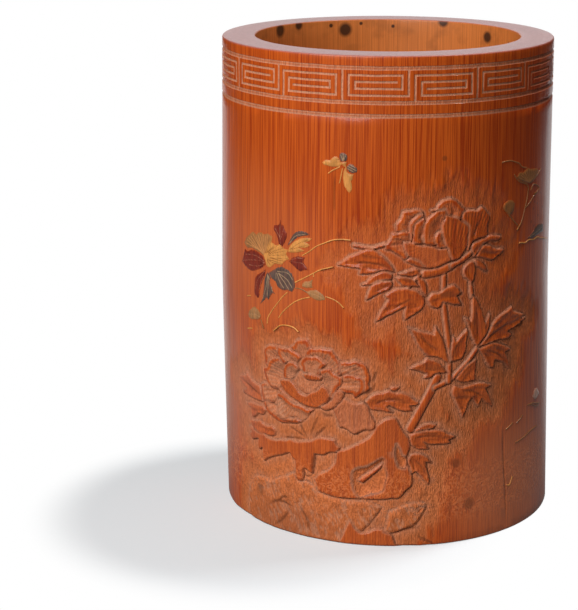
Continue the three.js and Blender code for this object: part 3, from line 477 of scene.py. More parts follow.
# How each kind of form is cut, in mm: its level below the skin, the width and drop of its rounded edge,
# how deep its face is scooped and how far in, how rough its outline is, how much pale bamboo its face
# shows, and how its face is ribbed
FORM_KINDS = {
    "skin": (0.0, 0.35, 0.15, 0.0, 3.0, 0.16, 0.25, "grain"),
    "face": (0.0, 0.4, 0.15, 0.1, 2.0, 0.16, 0.25, "from root"),
    "leaf": (0.03, 0.4, 0.2, 0.16, 2.2, 0.3, 0.25, "lengthways"),
    "petal": (0.03, 0.35, 0.15, 0.9, 4.2, 0.3, 0.9, "from centre"),
    "cup": (0.03, 0.4, 0.2, 0.7, 2.6, 0.3, 1.0, "from centre"),
    "lip": (0.0, 0.5, 0.25, 0.2, 2.0, 0.3, 0.45, "from centre"),
    "lobe": (0.1, 0.5, 0.2, 0.2, 2.4, 0.16, 0.5, "grain"),
    "heart": (0.55, 0.6, 0.2, 0.2, 1.6, 0.16, 0.8, "from centre"),
    "tongue": (0.35, 0.5, 0.3, 0.1, 1.0, 0.16, 0.0, "none"),
    "hollow": (0.95, 0.8, -0.5, 0.35, 3.0, 0.16, 0.9, "none"),
    "earth": (0.25, 0.9, 0.3, 0.1, 4.0, 0.16, 0.95, "curled"),
}

FORMS = EARTH + ROCKS + LOWER_LEAVES + LOWER_BLOOM + PLANT_LEAVES + UPPER_LEAVES + UPPER_BLOOM

# Where a bloom's petals close together, for petals whose middle lies within the given reach of it
BLOOM_CENTRES = [((20.5, 98.5), 22), ((-25, 51), 24)]

SHADED_SIDE = (0.6, -0.8)  # the way down to the right, away from the light, where cuts get painted shade and less of the painted highlight
COVER_FROM, COVER_TO = -0.24, 0.14  # how far inside its outline a form starts and fully covers
RIBS = 75  # how many of a petal's or face's fine ribs a whole turn would hold
FORM_SEED = 20  # the first form's, and one more for each form after it


def paleness(height):
    """How pale an opened surface shows at a height: paler low on the pot."""
    return 0.33 + 0.67 * (1 - ease(48, 96, height))


def bloom_centre(outline):
    """The centre of the bloom that a petal belongs to."""
    middle = outline.mean(axis=0)
    near = [centre for centre, reach in BLOOM_CENTRES if math.dist(middle, centre) < reach]
    return np.array(near[0] if near else middle)


def outer_rim(outline, centre, side=1):
    """The parts of an outline that face away from a centre, or towards it for side -1, as line segments."""
    if signed_area(outline) < 0:
        outline = outline[::-1]
    run = np.roll(outline, -1, axis=0) - outline
    out = np.stack([run[:, 1], -run[:, 0]], -1)
    facing = side * (out * (outline + run / 2 - centre)).sum(axis=1) > 0
    return (outline[facing], run[facing]) if facing.any() else (outline, run)


def lengthways(outline, along, height):
    """Places along and across a form's own long direction, in mm from its middle."""
    middle = outline.mean(axis=0)
    spread = outline - middle
    across, long = np.linalg.eigh(spread.T @ spread)[1].T
    long = long if long[0] > 0 else -long
    across = across if across[1] > 0 else -across
    x, z = along - middle[0], height - middle[1]
    return x * long[0] + z * long[1], x * across[0] + z * across[1]


def crease_beside(inside):
    """How much of the crease just outside an outline each point holds."""
    return np.exp(-(((inside + 0.28) / 0.27) ** 2)) * (inside < 0.2)


def dirt_beside(inside, low_side):
    """How much of the dark crease colour just outside an outline each point holds: dirt all round, and painted shade
    added on the side away from the light.
    """
    return np.exp(-(((inside + 0.2) / 0.2) ** 2)) * (0.3 + 0.7 * low_side)


def pale_beside(inside, start, low_side, lost):
    """How much of the pale chamfer along an outline each point holds: pale cut bamboo, least on the side away from the
    light, so that it stands as a painted highlight on the side towards the light.
    """
    return ease(start, -0.5, inside) * (1 - ease(-0.05, 0.4, inside)) * (1 - lost * low_side)


class CarvedFront:
    """The carved part of the wall as a fine grid: how deep it is cut and how the cut looks."""

    def __init__(self, along, height, carving):
        self.along, self.height = np.meshgrid(along, height, indexing="ij")
        self.drop, self.cut, self.facet, self.patina = np.zeros((4, *self.along.shape))
        self.carving = carving

    def window(self, line, margin):
        """The part of the grid within that margin of a line, and its places."""
        low, high = line.min(axis=0) - margin, line.max(axis=0) + margin
        columns = slice(*np.searchsorted(self.along[:, 0], [low[0], high[0]]))
        rows = slice(*np.searchsorted(self.height[0], [low[1], high[1]]))
        return (columns, rows), self.along[columns, rows], self.height[columns, rows]

    def low_side(self, inside):
        """How squarely the way out of a form faces down to the right, away from the light, at each point, 0 to 1."""
        run = np.gradient(inside, self.along[1, 0] - self.along[0, 0], self.height[0, 1] - self.height[0, 0])
        return np.clip(0.5 - 0.5 * (run[0] * SHADED_SIDE[0] + run[1] * SHADED_SIDE[1]), 0, 1)

    def cut_ground(self, outlines):
        """Cuts the ground back round all the forms, feathering out into the skin."""
        reach = self.carving.ground_reach / MM
        near = np.full(self.along.shape, -99.0)
        for outline in outlines:
            place, along, height = self.window(outline, reach + 4)
            near[place] = np.maximum(near[place], reach_inside(outline, along, height))
        ragged = patches("ragged", self.along, self.height) + patches("frayed", self.along, self.height)
        beside = 1 - ease(0.1, 1, -near / (reach * (0.45 + 0.45 * ragged)))
        hewn = patches("hewn", self.along, self.height) - 0.5
        self.drop += beside * (self.carving.ground_depth / MM + 0.2 * hewn)
        self.cut += ease(0.02, 0.85, beside) * paleness(self.height)
        close = ease(-3.5, -0.4, near) * patches("pale", self.along, self.height)
        self.facet += 0.5 * close * paleness(self.height) ** 2

    def lay(self, place, cover, crease, top, cut, opened, band, patina):
        """Lays a form's face over what is already there, with the marks along its outline."""
        under = 1 - cover
        self.drop[place] = (self.drop[place] + self.carving.crease_depth / MM * crease) * under + top * cover
        self.cut[place] = self.cut[place] * under + cut * cover
        self.facet[place] = np.maximum(self.facet[place] * under + opened * cover, band)
        self.patina[place] = np.maximum(self.patina[place] * under, patina)

    def raise_form(self, outline, kind, seed):
        """Cuts one form over what is already there, with a crease along its outline."""
        level, edge_width, edge_drop, scoop, scoop_reach, rough, pale, ribs = FORM_KINDS[kind]
        place, along, height = self.window(outline, 2)
        plain = reach_inside(outline, along, height)
        low_side = self.low_side(plain)
        inside = plain + rough * (patches("outline", along, height, seed) - 0.5)
        uneven = patches("uneven", along, height, seed)
        cover = ease(COVER_FROM, COVER_TO, inside)
        rim, streak, tilt, opened = inside, 0, 0, 0
        if ribs == "from centre":
            centre = bloom_centre(outline)
            rim = segment_gaps(*outer_rim(outline, centre, -1 if kind == "cup" else 1), along, height)[0].min(axis=-1)
            wander = patches("wander", along, height, seed) - 0.5
            turn = np.arctan2(height - centre[1], along - centre[0])
            streak = 0.16 * wander + 0.075 * np.cos(turn * RIBS + 4 * wander)
        elif ribs == "lengthways":
            long, across = lengthways(outline, along, height)
            streak = 0.26 * (patches("leaf", across + 0.12 * long, long, seed) - 0.5)
            tilt = 0.24 * ease(-0.6, 0.6, -across)
        elif ribs == "from root":
            root = outline[outline[:, 1].argmin()] - (0, 3)
            turn = np.arctan2(along - root[0], height - root[1])
            streak = 0.1 * np.cos(turn * RIBS + 5 * (patches("wander", along, height, seed) - 0.5))
        elif ribs == "grain":
            streak = 0.16 * (patches("grain", along, height, seed) - 0.5)
        edge = 1 - ease(0, edge_width * (0.7 + 0.6 * uneven), np.maximum(0, rim))
        top = level + edge_drop * edge + scoop * ease(0.7, scoop_reach, rim)
        top = top + (streak + tilt) * ease(0.2, 1.0, inside)
        if kind in ("petal", "cup"):
            pale = pale * ease(0.75, 1.5, rim + 0.5 * (uneven - 0.5))
        pale = pale * paleness(height)
        if ribs == "curled":
            curl = patches("curl", along + 0.4 * height, height) - 0.5
            swell = patches("swell", along, height) - 0.5
            top = top + (0.22 * curl + 0.3 * swell) * ease(0.3, 1.5, inside)
            opened = 0.6 * ease(0.05, 0.35, curl + 0.6 * swell)
        if ribs == "from centre" or kind == "lobe":
            opened = pale * np.clip(0.55 + 2.6 * streak, 0, 1)
        # dirt along the outline, with painted shade heavier on the side away from the light
        patina = dirt_beside(inside, low_side) * (0.5 + 0.5 * uneven)
        if kind in ("petal", "face", "leaf", "lobe", "heart"):
            patina = np.maximum(patina, 0.55 * cover * ease(0.04, 0.1, streak))
        crease = crease_beside(inside) * (0.45 + 0.9 * uneven)
        # pale chamfer, with a painted highlight on the side towards the light
        band = pale_beside(inside, -1.0, low_side, 0.5) * (0.4 + 0.6 * uneven)
        self.lay(place, cover, crease, top, pale, opened, band, patina)

    def raise_stem(self, line, width):
        """A round stem left standing along a line."""
        line = flowing(line, closed=False)
        place, along, height = self.window(line, width / 2 + 2)
        gap, _ = gap_to_line(line, along, height)
        inside = width / 2 - gap
        low_side = self.low_side(inside)
        top = 0.05 + 0.3 * np.clip(gap / (width / 2), 0, 1.2) ** 2
        # pale chamfer, with a painted highlight on the side towards the light
        band = 0.9 * pale_beside(inside, -0.9, low_side, 0.6)
        cover = ease(COVER_FROM, COVER_TO, inside)
        # the stem's crease colour: dirt, with painted shade on the side away from the light
        self.lay(place, cover, crease_beside(inside), top, 0.1, 0, band, dirt_beside(inside, low_side))

    def score(self, line, width, depth):
        """A knife line with a dark bottom."""
        line = flowing(line, closed=False)
        place, along, height = self.window(line, width * 2)
        gap, share = gap_to_line(line, along, height)
        thin = np.clip(4 * share, 0.2, 1) * np.clip(4 * (1 - share), 0.2, 1)
        groove = np.exp(-((gap / (width / 2 * (0.5 + 0.5 * thin))) ** 2)) * thin
        self.drop[place] += depth * groove
        self.patina[place] = np.maximum(self.patina[place], 0.85 * groove)


def carve_front(along, height, carving):
    """All the carving, as fields on a grid."""
    front = CarvedFront(along, height, carving)
    outlines = [flowing(outline) for _, outline in FORMS]
    front.cut_ground(outlines + [flowing(line, closed=False) for _, line in STEMS])
    stems_after = len(EARTH + ROCKS + LOWER_LEAVES + LOWER_BLOOM)
    for i, ((kind, _), outline) in enumerate(zip(FORMS, outlines)):
        if i == stems_after:
            for width, line in STEMS:
                front.raise_stem(line, width)
        front.raise_form(outline, kind, FORM_SEED + i)
    for width, depth, line in KNIFE_LINES:
        front.score(line, width, depth)
    front.drop = np.maximum(front.drop, 0)
    return front


# Meshes


def placed(name, data):
    """A new object in the scene, at the origin."""
    made = bpy.data.objects.new(name, data)
    bpy.context.collection.objects.link(made)
    return made


def mesh_piece(name, points, faces, fields, sharp_angle):
    """An object from points in metres, faces and named point values."""
    mesh = bpy.data.meshes.new(name)
    mesh.from_pydata(np.asarray(points).tolist(), [], faces)
    for field, values in fields.items():
        mesh.attributes.new(field, "FLOAT", "POINT").data.foreach_set("value", np.asarray(values, np.float32))
    mesh.shade_smooth()
    mesh.set_sharp_from_angle(angle=math.radians(sharp_angle))
    mesh.update()
    return placed(name, mesh)


def check_closed(piece):
    """Stops the script if a piece has an open or doubled edge, or is inside out."""
    mesh = piece.data
    loops = np.zeros(len(mesh.loops), int)
    mesh.loops.foreach_get("edge_index", loops)
    uses = np.bincount(loops, minlength=len(mesh.edges))
    if (uses != 2).any():
        raise RuntimeError(f"{piece.name} isn't closed: {(uses != 2).sum()} edges")
    mesh.calc_loop_triangles()
    corners = np.array([[mesh.vertices[i].co[:] for i in t.vertices] for t in mesh.loop_triangles[:]])
    volume = np.einsum("ij,ij->i", corners[:, 0], np.cross(corners[:, 1], corners[:, 2])).sum() / 6
    if volume <= 0:
        raise RuntimeError(f"{piece.name} is inside out")
    return len(mesh.loop_triangles)


def cell_splits(fields):
    """How finely each coarse cell is divided, from how badly a coarser one would show its fields."""
    share = np.arange(FINE + 1) / FINE
    splits = np.ones((COARSE_COLUMNS, COARSE_ROWS), int)
    for name, limit in SPLIT_LIMITS.items():
        field = np.vstack([fields[name], fields[name][:1]])
        across = [field[i : i + COARSE_COLUMNS * FINE : FINE] for i in range(FINE + 1)]
        cells = [[part[:, j : j + COARSE_ROWS * FINE : FINE] for j in range(FINE + 1)] for part in across]
        cells = np.moveaxis(np.array(cells), (0, 1), (2, 3))
        low = cells[..., :1, :] * (1 - share)[:, None] + cells[..., -1:, :] * share[:, None]
        plain = low[..., :1] * (1 - share) + low[..., -1:] * share
        bent = np.abs(cells - plain).max(axis=(-1, -2)) > limit
        splits[bent] = np.maximum(splits[bent], FINE // 2)
        halves = cells[..., ::2, ::2]
        rebuilt = cells.copy()
        rebuilt[..., 1::2, ::2] = (halves[..., :-1, :] + halves[..., 1:, :]) / 2
        rebuilt[..., :, 1::2] = (rebuilt[..., :, :-1:2] + rebuilt[..., :, 2::2]) / 2
        splits[np.abs(cells - rebuilt).max(axis=(-1, -2)) > limit] = FINE
    return splits


def adaptive_grid(splits):
    """Which fine points a divided grid uses, and its faces as (column, row) corners."""
    cells = [(c * FINE, r * FINE, FINE // splits[c, r]) for c in range(COARSE_COLUMNS) for r in range(COARSE_ROWS)]
    used = np.zeros((COARSE_COLUMNS * FINE + 1, COARSE_ROWS * FINE + 1), bool)
    for left, low, step in cells:
        used[left : left + FINE + 1 : step, low : low + FINE + 1 : step] = True
    used[0] |= used[-1]
    used[-1] = used[0]
    faces = []
    for left, low, step in cells:
        for i in range(left, left + FINE, step):
            for j in range(low, low + FINE, step):
                face = [(i + k, j) for k in range(step)] + [(i + step, j + k) for k in range(step)]
                face += [(i + step - k, j + step) for k in range(step)] + [(i, j + step - k) for k in range(step)]
                faces.append([corner for corner in face if used[corner]])
    return used, faces


def bore_radius(height):
    """Radius of the well at a height, in mm."""
    foot, rim = BASE_RADIUS - FOOT_WALL, RIM_RADIUS - RIM_WALL
    share = (height - NODE_TOP - NODE_FILLET) / (HEIGHT - WORN_EDGE - NODE_TOP - NODE_FILLET)
    return foot + (rim - foot) * share


def ring_points(angles, radius, height):
    """One ring of points round the culm's axis, in metres."""
    radius = np.broadcast_to(np.asarray(radius, float), angles.shape)
    x = axis_shift(height) + radius * np.sin(angles)
    return np.stack([x, -radius * np.cos(angles), np.full(angles.shape, float(height))], -1) * MM


def build_culm_body(carving):
    """The culm from its foot to the middle of the ring under the border, as one closed mesh."""
    columns, rows = COARSE_COLUMNS * FINE, COARSE_ROWS * FINE
    angles = np.arange(columns) / columns * 2 * math.pi - math.pi
    along = angles * BASE_RADIUS
    heights = WALL_FOOT + (WALL_HEAD - WALL_FOOT) * np.arange(rows + 1) / rows
    fields = {name: np.zeros((columns, rows + 1)) for name in ("drop", "cut", "facet", "patina")}
    across = slice(*np.searchsorted(along, CARVED_ALONG))
    up = slice(*np.searchsorted(heights, CARVED_HEIGHT))
    front = carve_front(along[across], heights[up], carving)
    for name, field in fields.items():
        field[across, up] = getattr(front, name)
    used, cells = adaptive_grid(cell_splits(fields))

    points, faces = [], []
    marks = {name: [] for name in ("cut", "facet", "patina", "bore", "end_grain")}
    coarse = angles[::FINE]
    around = [(i, (i + 1) % COARSE_COLUMNS) for i in range(COARSE_COLUMNS)]

    def add_points(new, **values):
        first = len(points)
        points.extend(new)
        for name, mark in marks.items():
            mark.extend(np.broadcast_to(values.get(name, 0.0), len(new)))
        return list(range(first, len(points)))

    def ring(radius, height, wave=0.0, **values):
        """Coarse points round the axis, raised by a wave in mm."""
        places = ring_points(coarse, radius, height)
        places[:, 2] += wave * MM
        return add_points(places, **values)

    def wall_edge(i, level):
        """The wall's used points over one coarse cell, left to right."""
        return [int(index[k, level]) for k in range(i * FINE, (i + 1) * FINE + 1) if index[k, level] >= 0]

    def close(rings, level, order):
        """Joins each ring to the next and the last to the node's middle. Order -1 faces down."""
        middle = add_points([np.array([axis_shift(level), 0, level - NODE_DISH]) * MM], bore=1)
        for pair in zip(rings, rings[1:]):
            lower, upper = pair[::order]
            faces.extend([lower[i], lower[j], upper[j], upper[i]] for i, j in around)
        faces.extend([rings[-1][k] for k in pair[::order]] + middle for pair in around)

    column, row = np.nonzero(used[:-1])
    index = np.full(used.shape, -1)
    wall = on_wall(along[column], heights[row], -fields["drop"][column, row])
    index[column, row] = add_points(wall, **{n: fields[n][column, row] for n in ("cut", "facet", "patina")})
    index[-1] = index[0]
    faces.extend([int(index[corner]) for corner in cell] for cell in cells)

    fillet = [NODE_FILLET * np.array([1 - math.cos(turn), math.sin(turn)]) for turn in np.linspace(0, math.pi / 2, 6)]
    ring_low, ring_width = LOWER_RING
    skin, head, bore_foot = float(outside_radius(ring_low)), ring_low + ring_width / 2, NODE_TOP + NODE_FILLET
    wave = 0.07 * np.sin(3 * coarse + 0.6) + 0.05 * np.sin(11 * coarse)
    rings = [
        ring(skin - 0.03, ring_low, wave, facet=0.3),
        ring(skin - GROOVE_DEPTH, ring_low + 0.25, wave, cut=0.35, facet=1.0, patina=0.2),
        ring(skin - GROOVE_DEPTH, head, cut=0.35, facet=0.3),
    ]
    faces.extend(wall_edge(i, -1) + [rings[0][j], rings[0][i]] for i, j in around)
    well = BASE_RADIUS - FOOT_WALL
    profile = [(bore_radius(height), height) for height in np.linspace(head, bore_foot, 15)]
    profile += [(well - inward, bore_foot - down) for inward, down in fillet[1:]]
    profile += [(well * share, NODE_TOP - NODE_DISH * (1 - share * share)) for share in (0.8, 0.6, 0.4, 0.2)]
    close(rings + [ring(radius, height, bore=1) for radius, height in profile], NODE_TOP, 1)

    foot_bore, under = BASE_RADIUS - FOOT_OPENING_WALL, NODE_TOP - NODE_THICKNESS
    skin = BASE_RADIUS - fields["drop"][::FINE, 0]
    rings = [
        ring(skin - 0.13, 0.22, facet=0.3),
        ring(skin - 0.4, 0.0, end_grain=1),
        ring(foot_bore + 0.4, 0.0, end_grain=1),
        ring(foot_bore, 0.4, bore=0.6),
    ]
    faces.extend([rings[0][i], rings[0][j]] + wall_edge(i, 0)[::-1] for i, j in around)
    profile = [(foot_bore - inward, under - NODE_FILLET + down) for inward, down in fillet]
    for share in (0.75, 0.5, 0.25):
        profile.append(((foot_bore - NODE_FILLET) * share, under - NODE_DISH * (1 - share * share)))
    close(rings + [ring(radius, height, bore=1) for radius, height in profile], under, -1)
    return mesh_piece("culm_body", np.array(points), faces, marks, sharp_angle=55)


# The border: one repeat of it, turned round the pot by a node tree


def fret_lines():
    """The cut lines of one repeat of the fret as boxes: middle and half sizes, mm from its upright."""
    step = 2 * math.pi * BASE_RADIUS / FRET_REPEATS
    low, high = BORDER_FOOT[0] + BORDER_FOOT[1], BORDER_HEAD[0]
    half = (step - 3 * FRET_PITCH) / 4
    middle, rise, p = (low + high) / 2, (high - low) / 2, FRET_PITCH
    path = [
        (half, rise + 0.3), (half, -1.5 * p), (-half, -1.5 * p), (-half, 1.5 * p), (half - p, 1.5 * p),
        (half - p, -0.5 * p), (-half + p, -0.5 * p), (-half + p, 0.5 * p), (half - 1.9 * p, 0.5 * p),
    ]
    boxes = [(0.0, middle, FRET_LINE / 2, rise + 0.3)]
    for centre, turn in ((p + half, 1), (2 * p + 3 * half, -1)):
        for (x0, z0), (x1, z1) in zip(path, path[1:]):
            boxes.append((
                centre + turn * (x0 + x1) / 2, middle + turn * (z0 + z1) / 2,
                abs(x1 - x0) / 2 + FRET_LINE / 2, abs(z1 - z0) / 2 + FRET_LINE / 2,
            ))
    return boxes


def stops(low, high, edges, widest):
    """Grid positions from low to high, with a narrow slope at each cut's edge and no gap too wide."""
    slope = 0.075
    places = {low, high}
    for edge in edges:
        if low < edge < high:
            places |= {round(edge - slope, 4), round(edge + slope, 4)}
    places = sorted(places)
    kept = [places[0]]
    for place in places[1:]:
        parts = max(1, math.ceil((place - kept[-1]) / widest))
        start = kept[-1]
        kept += [start + (place - start) * (k + 1) / parts for k in range(parts)]
    return np.array(kept)


def build_border_sector():
    """One repeat of the border as an open slice, from the lower ring over the rim and down the bore."""
    step = 2 * math.pi * BASE_RADIUS / FRET_REPEATS
    boxes = fret_lines()
    start = -FRET_PITCH / 2
    columns = stops(start, start + step, [x + s * hx for x, _, hx, _ in boxes for s in (-1, 1)], 1.4)
    foot = LOWER_RING[0] + LOWER_RING[1] / 2
    edges = [LOWER_RING[0] + LOWER_RING[1]]
    edges += [z for low, width in (BORDER_FOOT, BORDER_HEAD) for z in (low, low + width / 2, low + width)]
    fret_edges = [z + s * hz for _, z, _, hz in boxes for s in (-1, 1)]
    edges += [z for z in fret_edges if BORDER_FOOT[0] + BORDER_FOOT[1] < z < BORDER_HEAD[0]]
    outer = stops(foot, HEIGHT - WORN_EDGE, sorted(set(np.round(edges, 3))), 1.5)
    along, height = np.meshgrid(columns, outer, indexing="ij")
    gap = np.full(along.shape, 99.0)
    for x, z, half_x, half_z in boxes:
        gap = np.minimum(gap, np.maximum(np.abs(along - x) - half_x, np.abs(height - z) - half_z))
    for low, width in (LOWER_RING, BORDER_FOOT, BORDER_HEAD):
        gap = np.minimum(gap, np.abs(height - low - width / 2) - width / 2)
    groove, blank = 1 - ease(-0.07, 0.07, gap), np.zeros(along.shape)
    wall = (outside_radius(height) - GROOVE_DEPTH * groove, height, groove, blank, blank)

    def worn_edge(radius, side, turns):
        """Rows round a worn edge, from turns in degrees, 90 on the rim's flat top."""
        for turn in turns:
            angle = math.radians(turn)
            level = HEIGHT - WORN_EDGE * (1 - math.sin(angle))
            bore = 1 - turn / 90 if side > 0 else 0
            yield radius + side * WORN_EDGE * (1 - math.cos(angle)), level, 0, bore, turn / 90

    rows = list(worn_edge(RIM_RADIUS, -1, (30, 60, 90)))
    flat = RIM_WALL - 2 * WORN_EDGE
    rows += [(RIM_RADIUS - WORN_EDGE - flat * share, HEIGHT, 0, 0, 1) for share in (0.3, 0.7)]
    rows += worn_edge(RIM_RADIUS - RIM_WALL, 1, (90, 60, 30, 0))
    levels = [HEIGHT - WORN_EDGE + (foot - HEIGHT + WORN_EDGE) * share for share in (0.3, 0.65, 1.0)]
    rows += [(bore_radius(level), level, 0, 1, 0) for level in levels]
    over = [np.tile(values, (len(columns), 1)) for values in zip(*rows)]
    radius, level, cut, bore, grain = (np.hstack(pair) for pair in zip(wall, over))
    facet = cut.copy()
    facet[:, : len(outer)] *= 1 - 0.7 * (gap < -FRET_LINE / 2 - 0.1)
    angle = ((columns + FRET_FIRST) / BASE_RADIUS)[:, None]
    points = np.stack([radius * np.sin(angle), -radius * np.cos(angle), level], -1).reshape(-1, 3) * MM
    count = level.shape[1]
    faces = []
    for i in range(len(columns) - 1):
        for j in range(count):
            k = (j + 1) % count
            faces.append([i * count + j, (i + 1) * count + j, (i + 1) * count + k, i * count + k])
    loose = ease(LOWER_RING[0] + 1.4, LOWER_RING[0] + 3, level) * (1 - ease(HEIGHT - 3, HEIGHT - 1.5, level))
    fields = {
        "cut": 0.35 * cut, "facet": facet, "patina": 0 * cut, "bore": bore, "end_grain": grain,
        "hand_cut": loose * (1 - bore) * (1 - grain),
    }
    fields = {name: values.reshape(-1) for name, values in fields.items()}
    return mesh_piece("border_sector", points, faces, fields, sharp_angle=180)


# Node trees


class Wiring:
    """A node tree that is being filled. Inputs are values, or sockets to link from."""

    def __init__(self, tree):
        self.tree = tree

    def give(self, node, inputs):
        """Sets a node's inputs, or links sockets to them."""
        for key, value in dict(inputs).items():
            if isinstance(value, bpy.types.NodeSocket):
                self.tree.links.new(value, node.inputs[key])
            else:
                node.inputs[key].default_value = value
        return node

    def add(self, kind, inputs=(), **settings):
        """The outputs of a new node with its settings and inputs."""
        made = self.tree.nodes.new(kind)
        for name, value in settings.items():
            setattr(made, name, value)
        return self.give(made, inputs).outputs

    def group(self, tree, **inputs):
        """The outputs of a placed node group, its inputs named with underscores for spaces."""
        inputs = {name.replace("_", " "): value for name, value in inputs.items()}
        return self.add("ShaderNodeGroup", inputs, node_tree=tree)

    def maths(self, operation, *values):
        """The result of one sum."""
        return self.add("ShaderNodeMath", enumerate(values), operation=operation)[0]

    def times(self, first, second):
        """Two values multiplied."""
        return self.maths("MULTIPLY", first, second)

    def times_plus(self, first, second, third):
        """Two values multiplied, and a third added."""
        return self.maths("MULTIPLY_ADD", first, second, third)

    def clamped(self, value):
        """A value held between 0 and 1."""
        return self.add("ShaderNodeClamp", {"Value": value})[0]

    def ramp(self, value, start, end, low=0.0, high=1.0, kind="LINEAR"):
        """From low to high as a value goes from start to end."""
        inputs = {"Value": value, "From Min": start, "From Max": end, "To Min": low, "To Max": high}
        return self.add("ShaderNodeMapRange", inputs, interpolation_type=kind)[0]

    def vectors(self, operation, first, second):
        """The result of one sum of vectors."""
        inputs = {0: first, "Scale" if operation == "SCALE" else 1: second}
        return self.add("ShaderNodeVectorMath", inputs, operation=operation)["Value" if operation == "DISTANCE" else 0]

    def noise(self, place, kind):
        """A smooth random value, of one of the NOISES."""
        inputs = dict(zip(("Scale", "Detail", "Distortion"), NOISES[kind]))
        return self.add("ShaderNodeTexNoise", {"Vector": place, **inputs})["Fac"]

    def mixed(self, share, first, second):
        """Two colours mixed."""
        inputs = {0: share, 6: opaque(first), 7: opaque(second)}
        return self.add("ShaderNodeMix", inputs, data_type="RGBA")[2]

    def marks(self, *names):
        """The points' own values of those names."""
        return [self.add("ShaderNodeAttribute", attribute_name=name)["Fac"] for name in names]

    def place(self):
        """The place on the object in metres."""
        return self.add("ShaderNodeTexCoord")["Object"]

    def stretched(self, place, narrow, tall):
        """A place scaled sideways and upwards."""
        scale = self.add("ShaderNodeCombineXYZ", {"X": narrow, "Y": narrow, "Z": tall})[0]
        return self.vectors("MULTIPLY", place, scale)


def new_group(name, kind, inputs, outputs):
    """A node group to fill. Each socket's value is its default, or the name of its kind."""
    tree = bpy.data.node_groups.new(name, kind)
    for way, sockets in (("INPUT", inputs), ("OUTPUT", outputs)):
        for label, value in sockets.items():
            holds = value if isinstance(value, str) else type(value).__name__.capitalize()
            socket = tree.interface.new_socket(label, in_out=way, socket_type="NodeSocket" + holds)
            if holds != value:
                socket.default_value = value
    wiring = Wiring(tree)
    return wiring, wiring.add("NodeGroupInput"), tree.nodes.new("NodeGroupOutput")


def border_tree(material):
    """Turns a slice round the axis, joins the copies and gives their cuts a hand's unevenness."""
    inputs = {
        "Slice": "Geometry", "Repeats": FRET_REPEATS, "Axis Shift": 0.0,
        "Unevenness": 0.0, "Unevenness Size": 1.0, "Seed": 0.0,
    }
    tree, given, result = new_group("Border ring", "GeometryNodeTree", inputs, {"Ring": "Geometry"})
    places = tree.add("GeometryNodePoints", {"Count": given["Repeats"]})[0]
    turn = tree.maths("DIVIDE", 2 * math.pi, given["Repeats"])
    turn = tree.times(tree.add("GeometryNodeInputIndex")[0], turn)
    rotation = tree.add("ShaderNodeCombineXYZ", {"Z": turn})[0]
    noise = {"Scale": given["Unevenness Size"], "W": given["Seed"], "Detail": 2.0}
    noise = tree.add("ShaderNodeTexNoise", noise, noise_dimensions="4D")["Color"]
    hand_cut = tree.add("GeometryNodeInputNamedAttribute", {"Name": "hand_cut"}, data_type="FLOAT")["Attribute"]
    amount = tree.times(hand_cut, given["Unevenness"])
    offset = tree.vectors("SCALE", tree.vectors("SUBTRACT", noise, (0.5, 0.5, 0.5)), amount)
    shift = tree.add("ShaderNodeCombineXYZ", {"X": given["Axis Shift"]})[0]
    copies = {"Points": places, "Instance": given["Slice"], "Rotation": rotation}
    shape = tree.add("GeometryNodeInstanceOnPoints", copies)[0]
    for kind, inputs in (
        ("GeometryNodeRealizeInstances", {}),
        ("GeometryNodeMergeByDistance", {"Distance": 2e-6}),
        ("GeometryNodeSetPosition", {"Offset": offset}),
        ("GeometryNodeTransform", {"Translation": shift}),
        ("GeometryNodeRealizeInstances", {}),
        ("GeometryNodeSetMaterial", {"Material": material}),
    ):
        shape = tree.add(kind, {"Geometry": shape, **inputs})[0]
    tree.give(result, {"Ring": shape})
    return tree.tree


def grown(name, source, tree, values, sharp_angle):
    """A new plain mesh piece from a source object run through a node tree."""
    modifier = source.modifiers.new("Growth", "NODES")
    modifier.node_group = tree
    for item in tree.interface.items_tree:
        if item.item_type == "SOCKET" and item.in_out == "INPUT" and item.name in values:
            modifier[item.identifier] = values[item.name]
    evaluated = source.evaluated_get(bpy.context.evaluated_depsgraph_get())
    mesh = bpy.data.meshes.new_from_object(evaluated)
    source.modifiers.remove(modifier)
    mesh.name = name
    mesh.shade_smooth()
    mesh.set_sharp_from_angle(angle=math.radians(sharp_angle))
    data = source.data
    bpy.data.objects.remove(source)
    if data.users == 0:
        (bpy.data.meshes if isinstance(data, bpy.types.Mesh) else bpy.data.curves).remove(data)
    return placed(name, mesh)


# Lacquer: the material slot, the outline and the veins of each patch

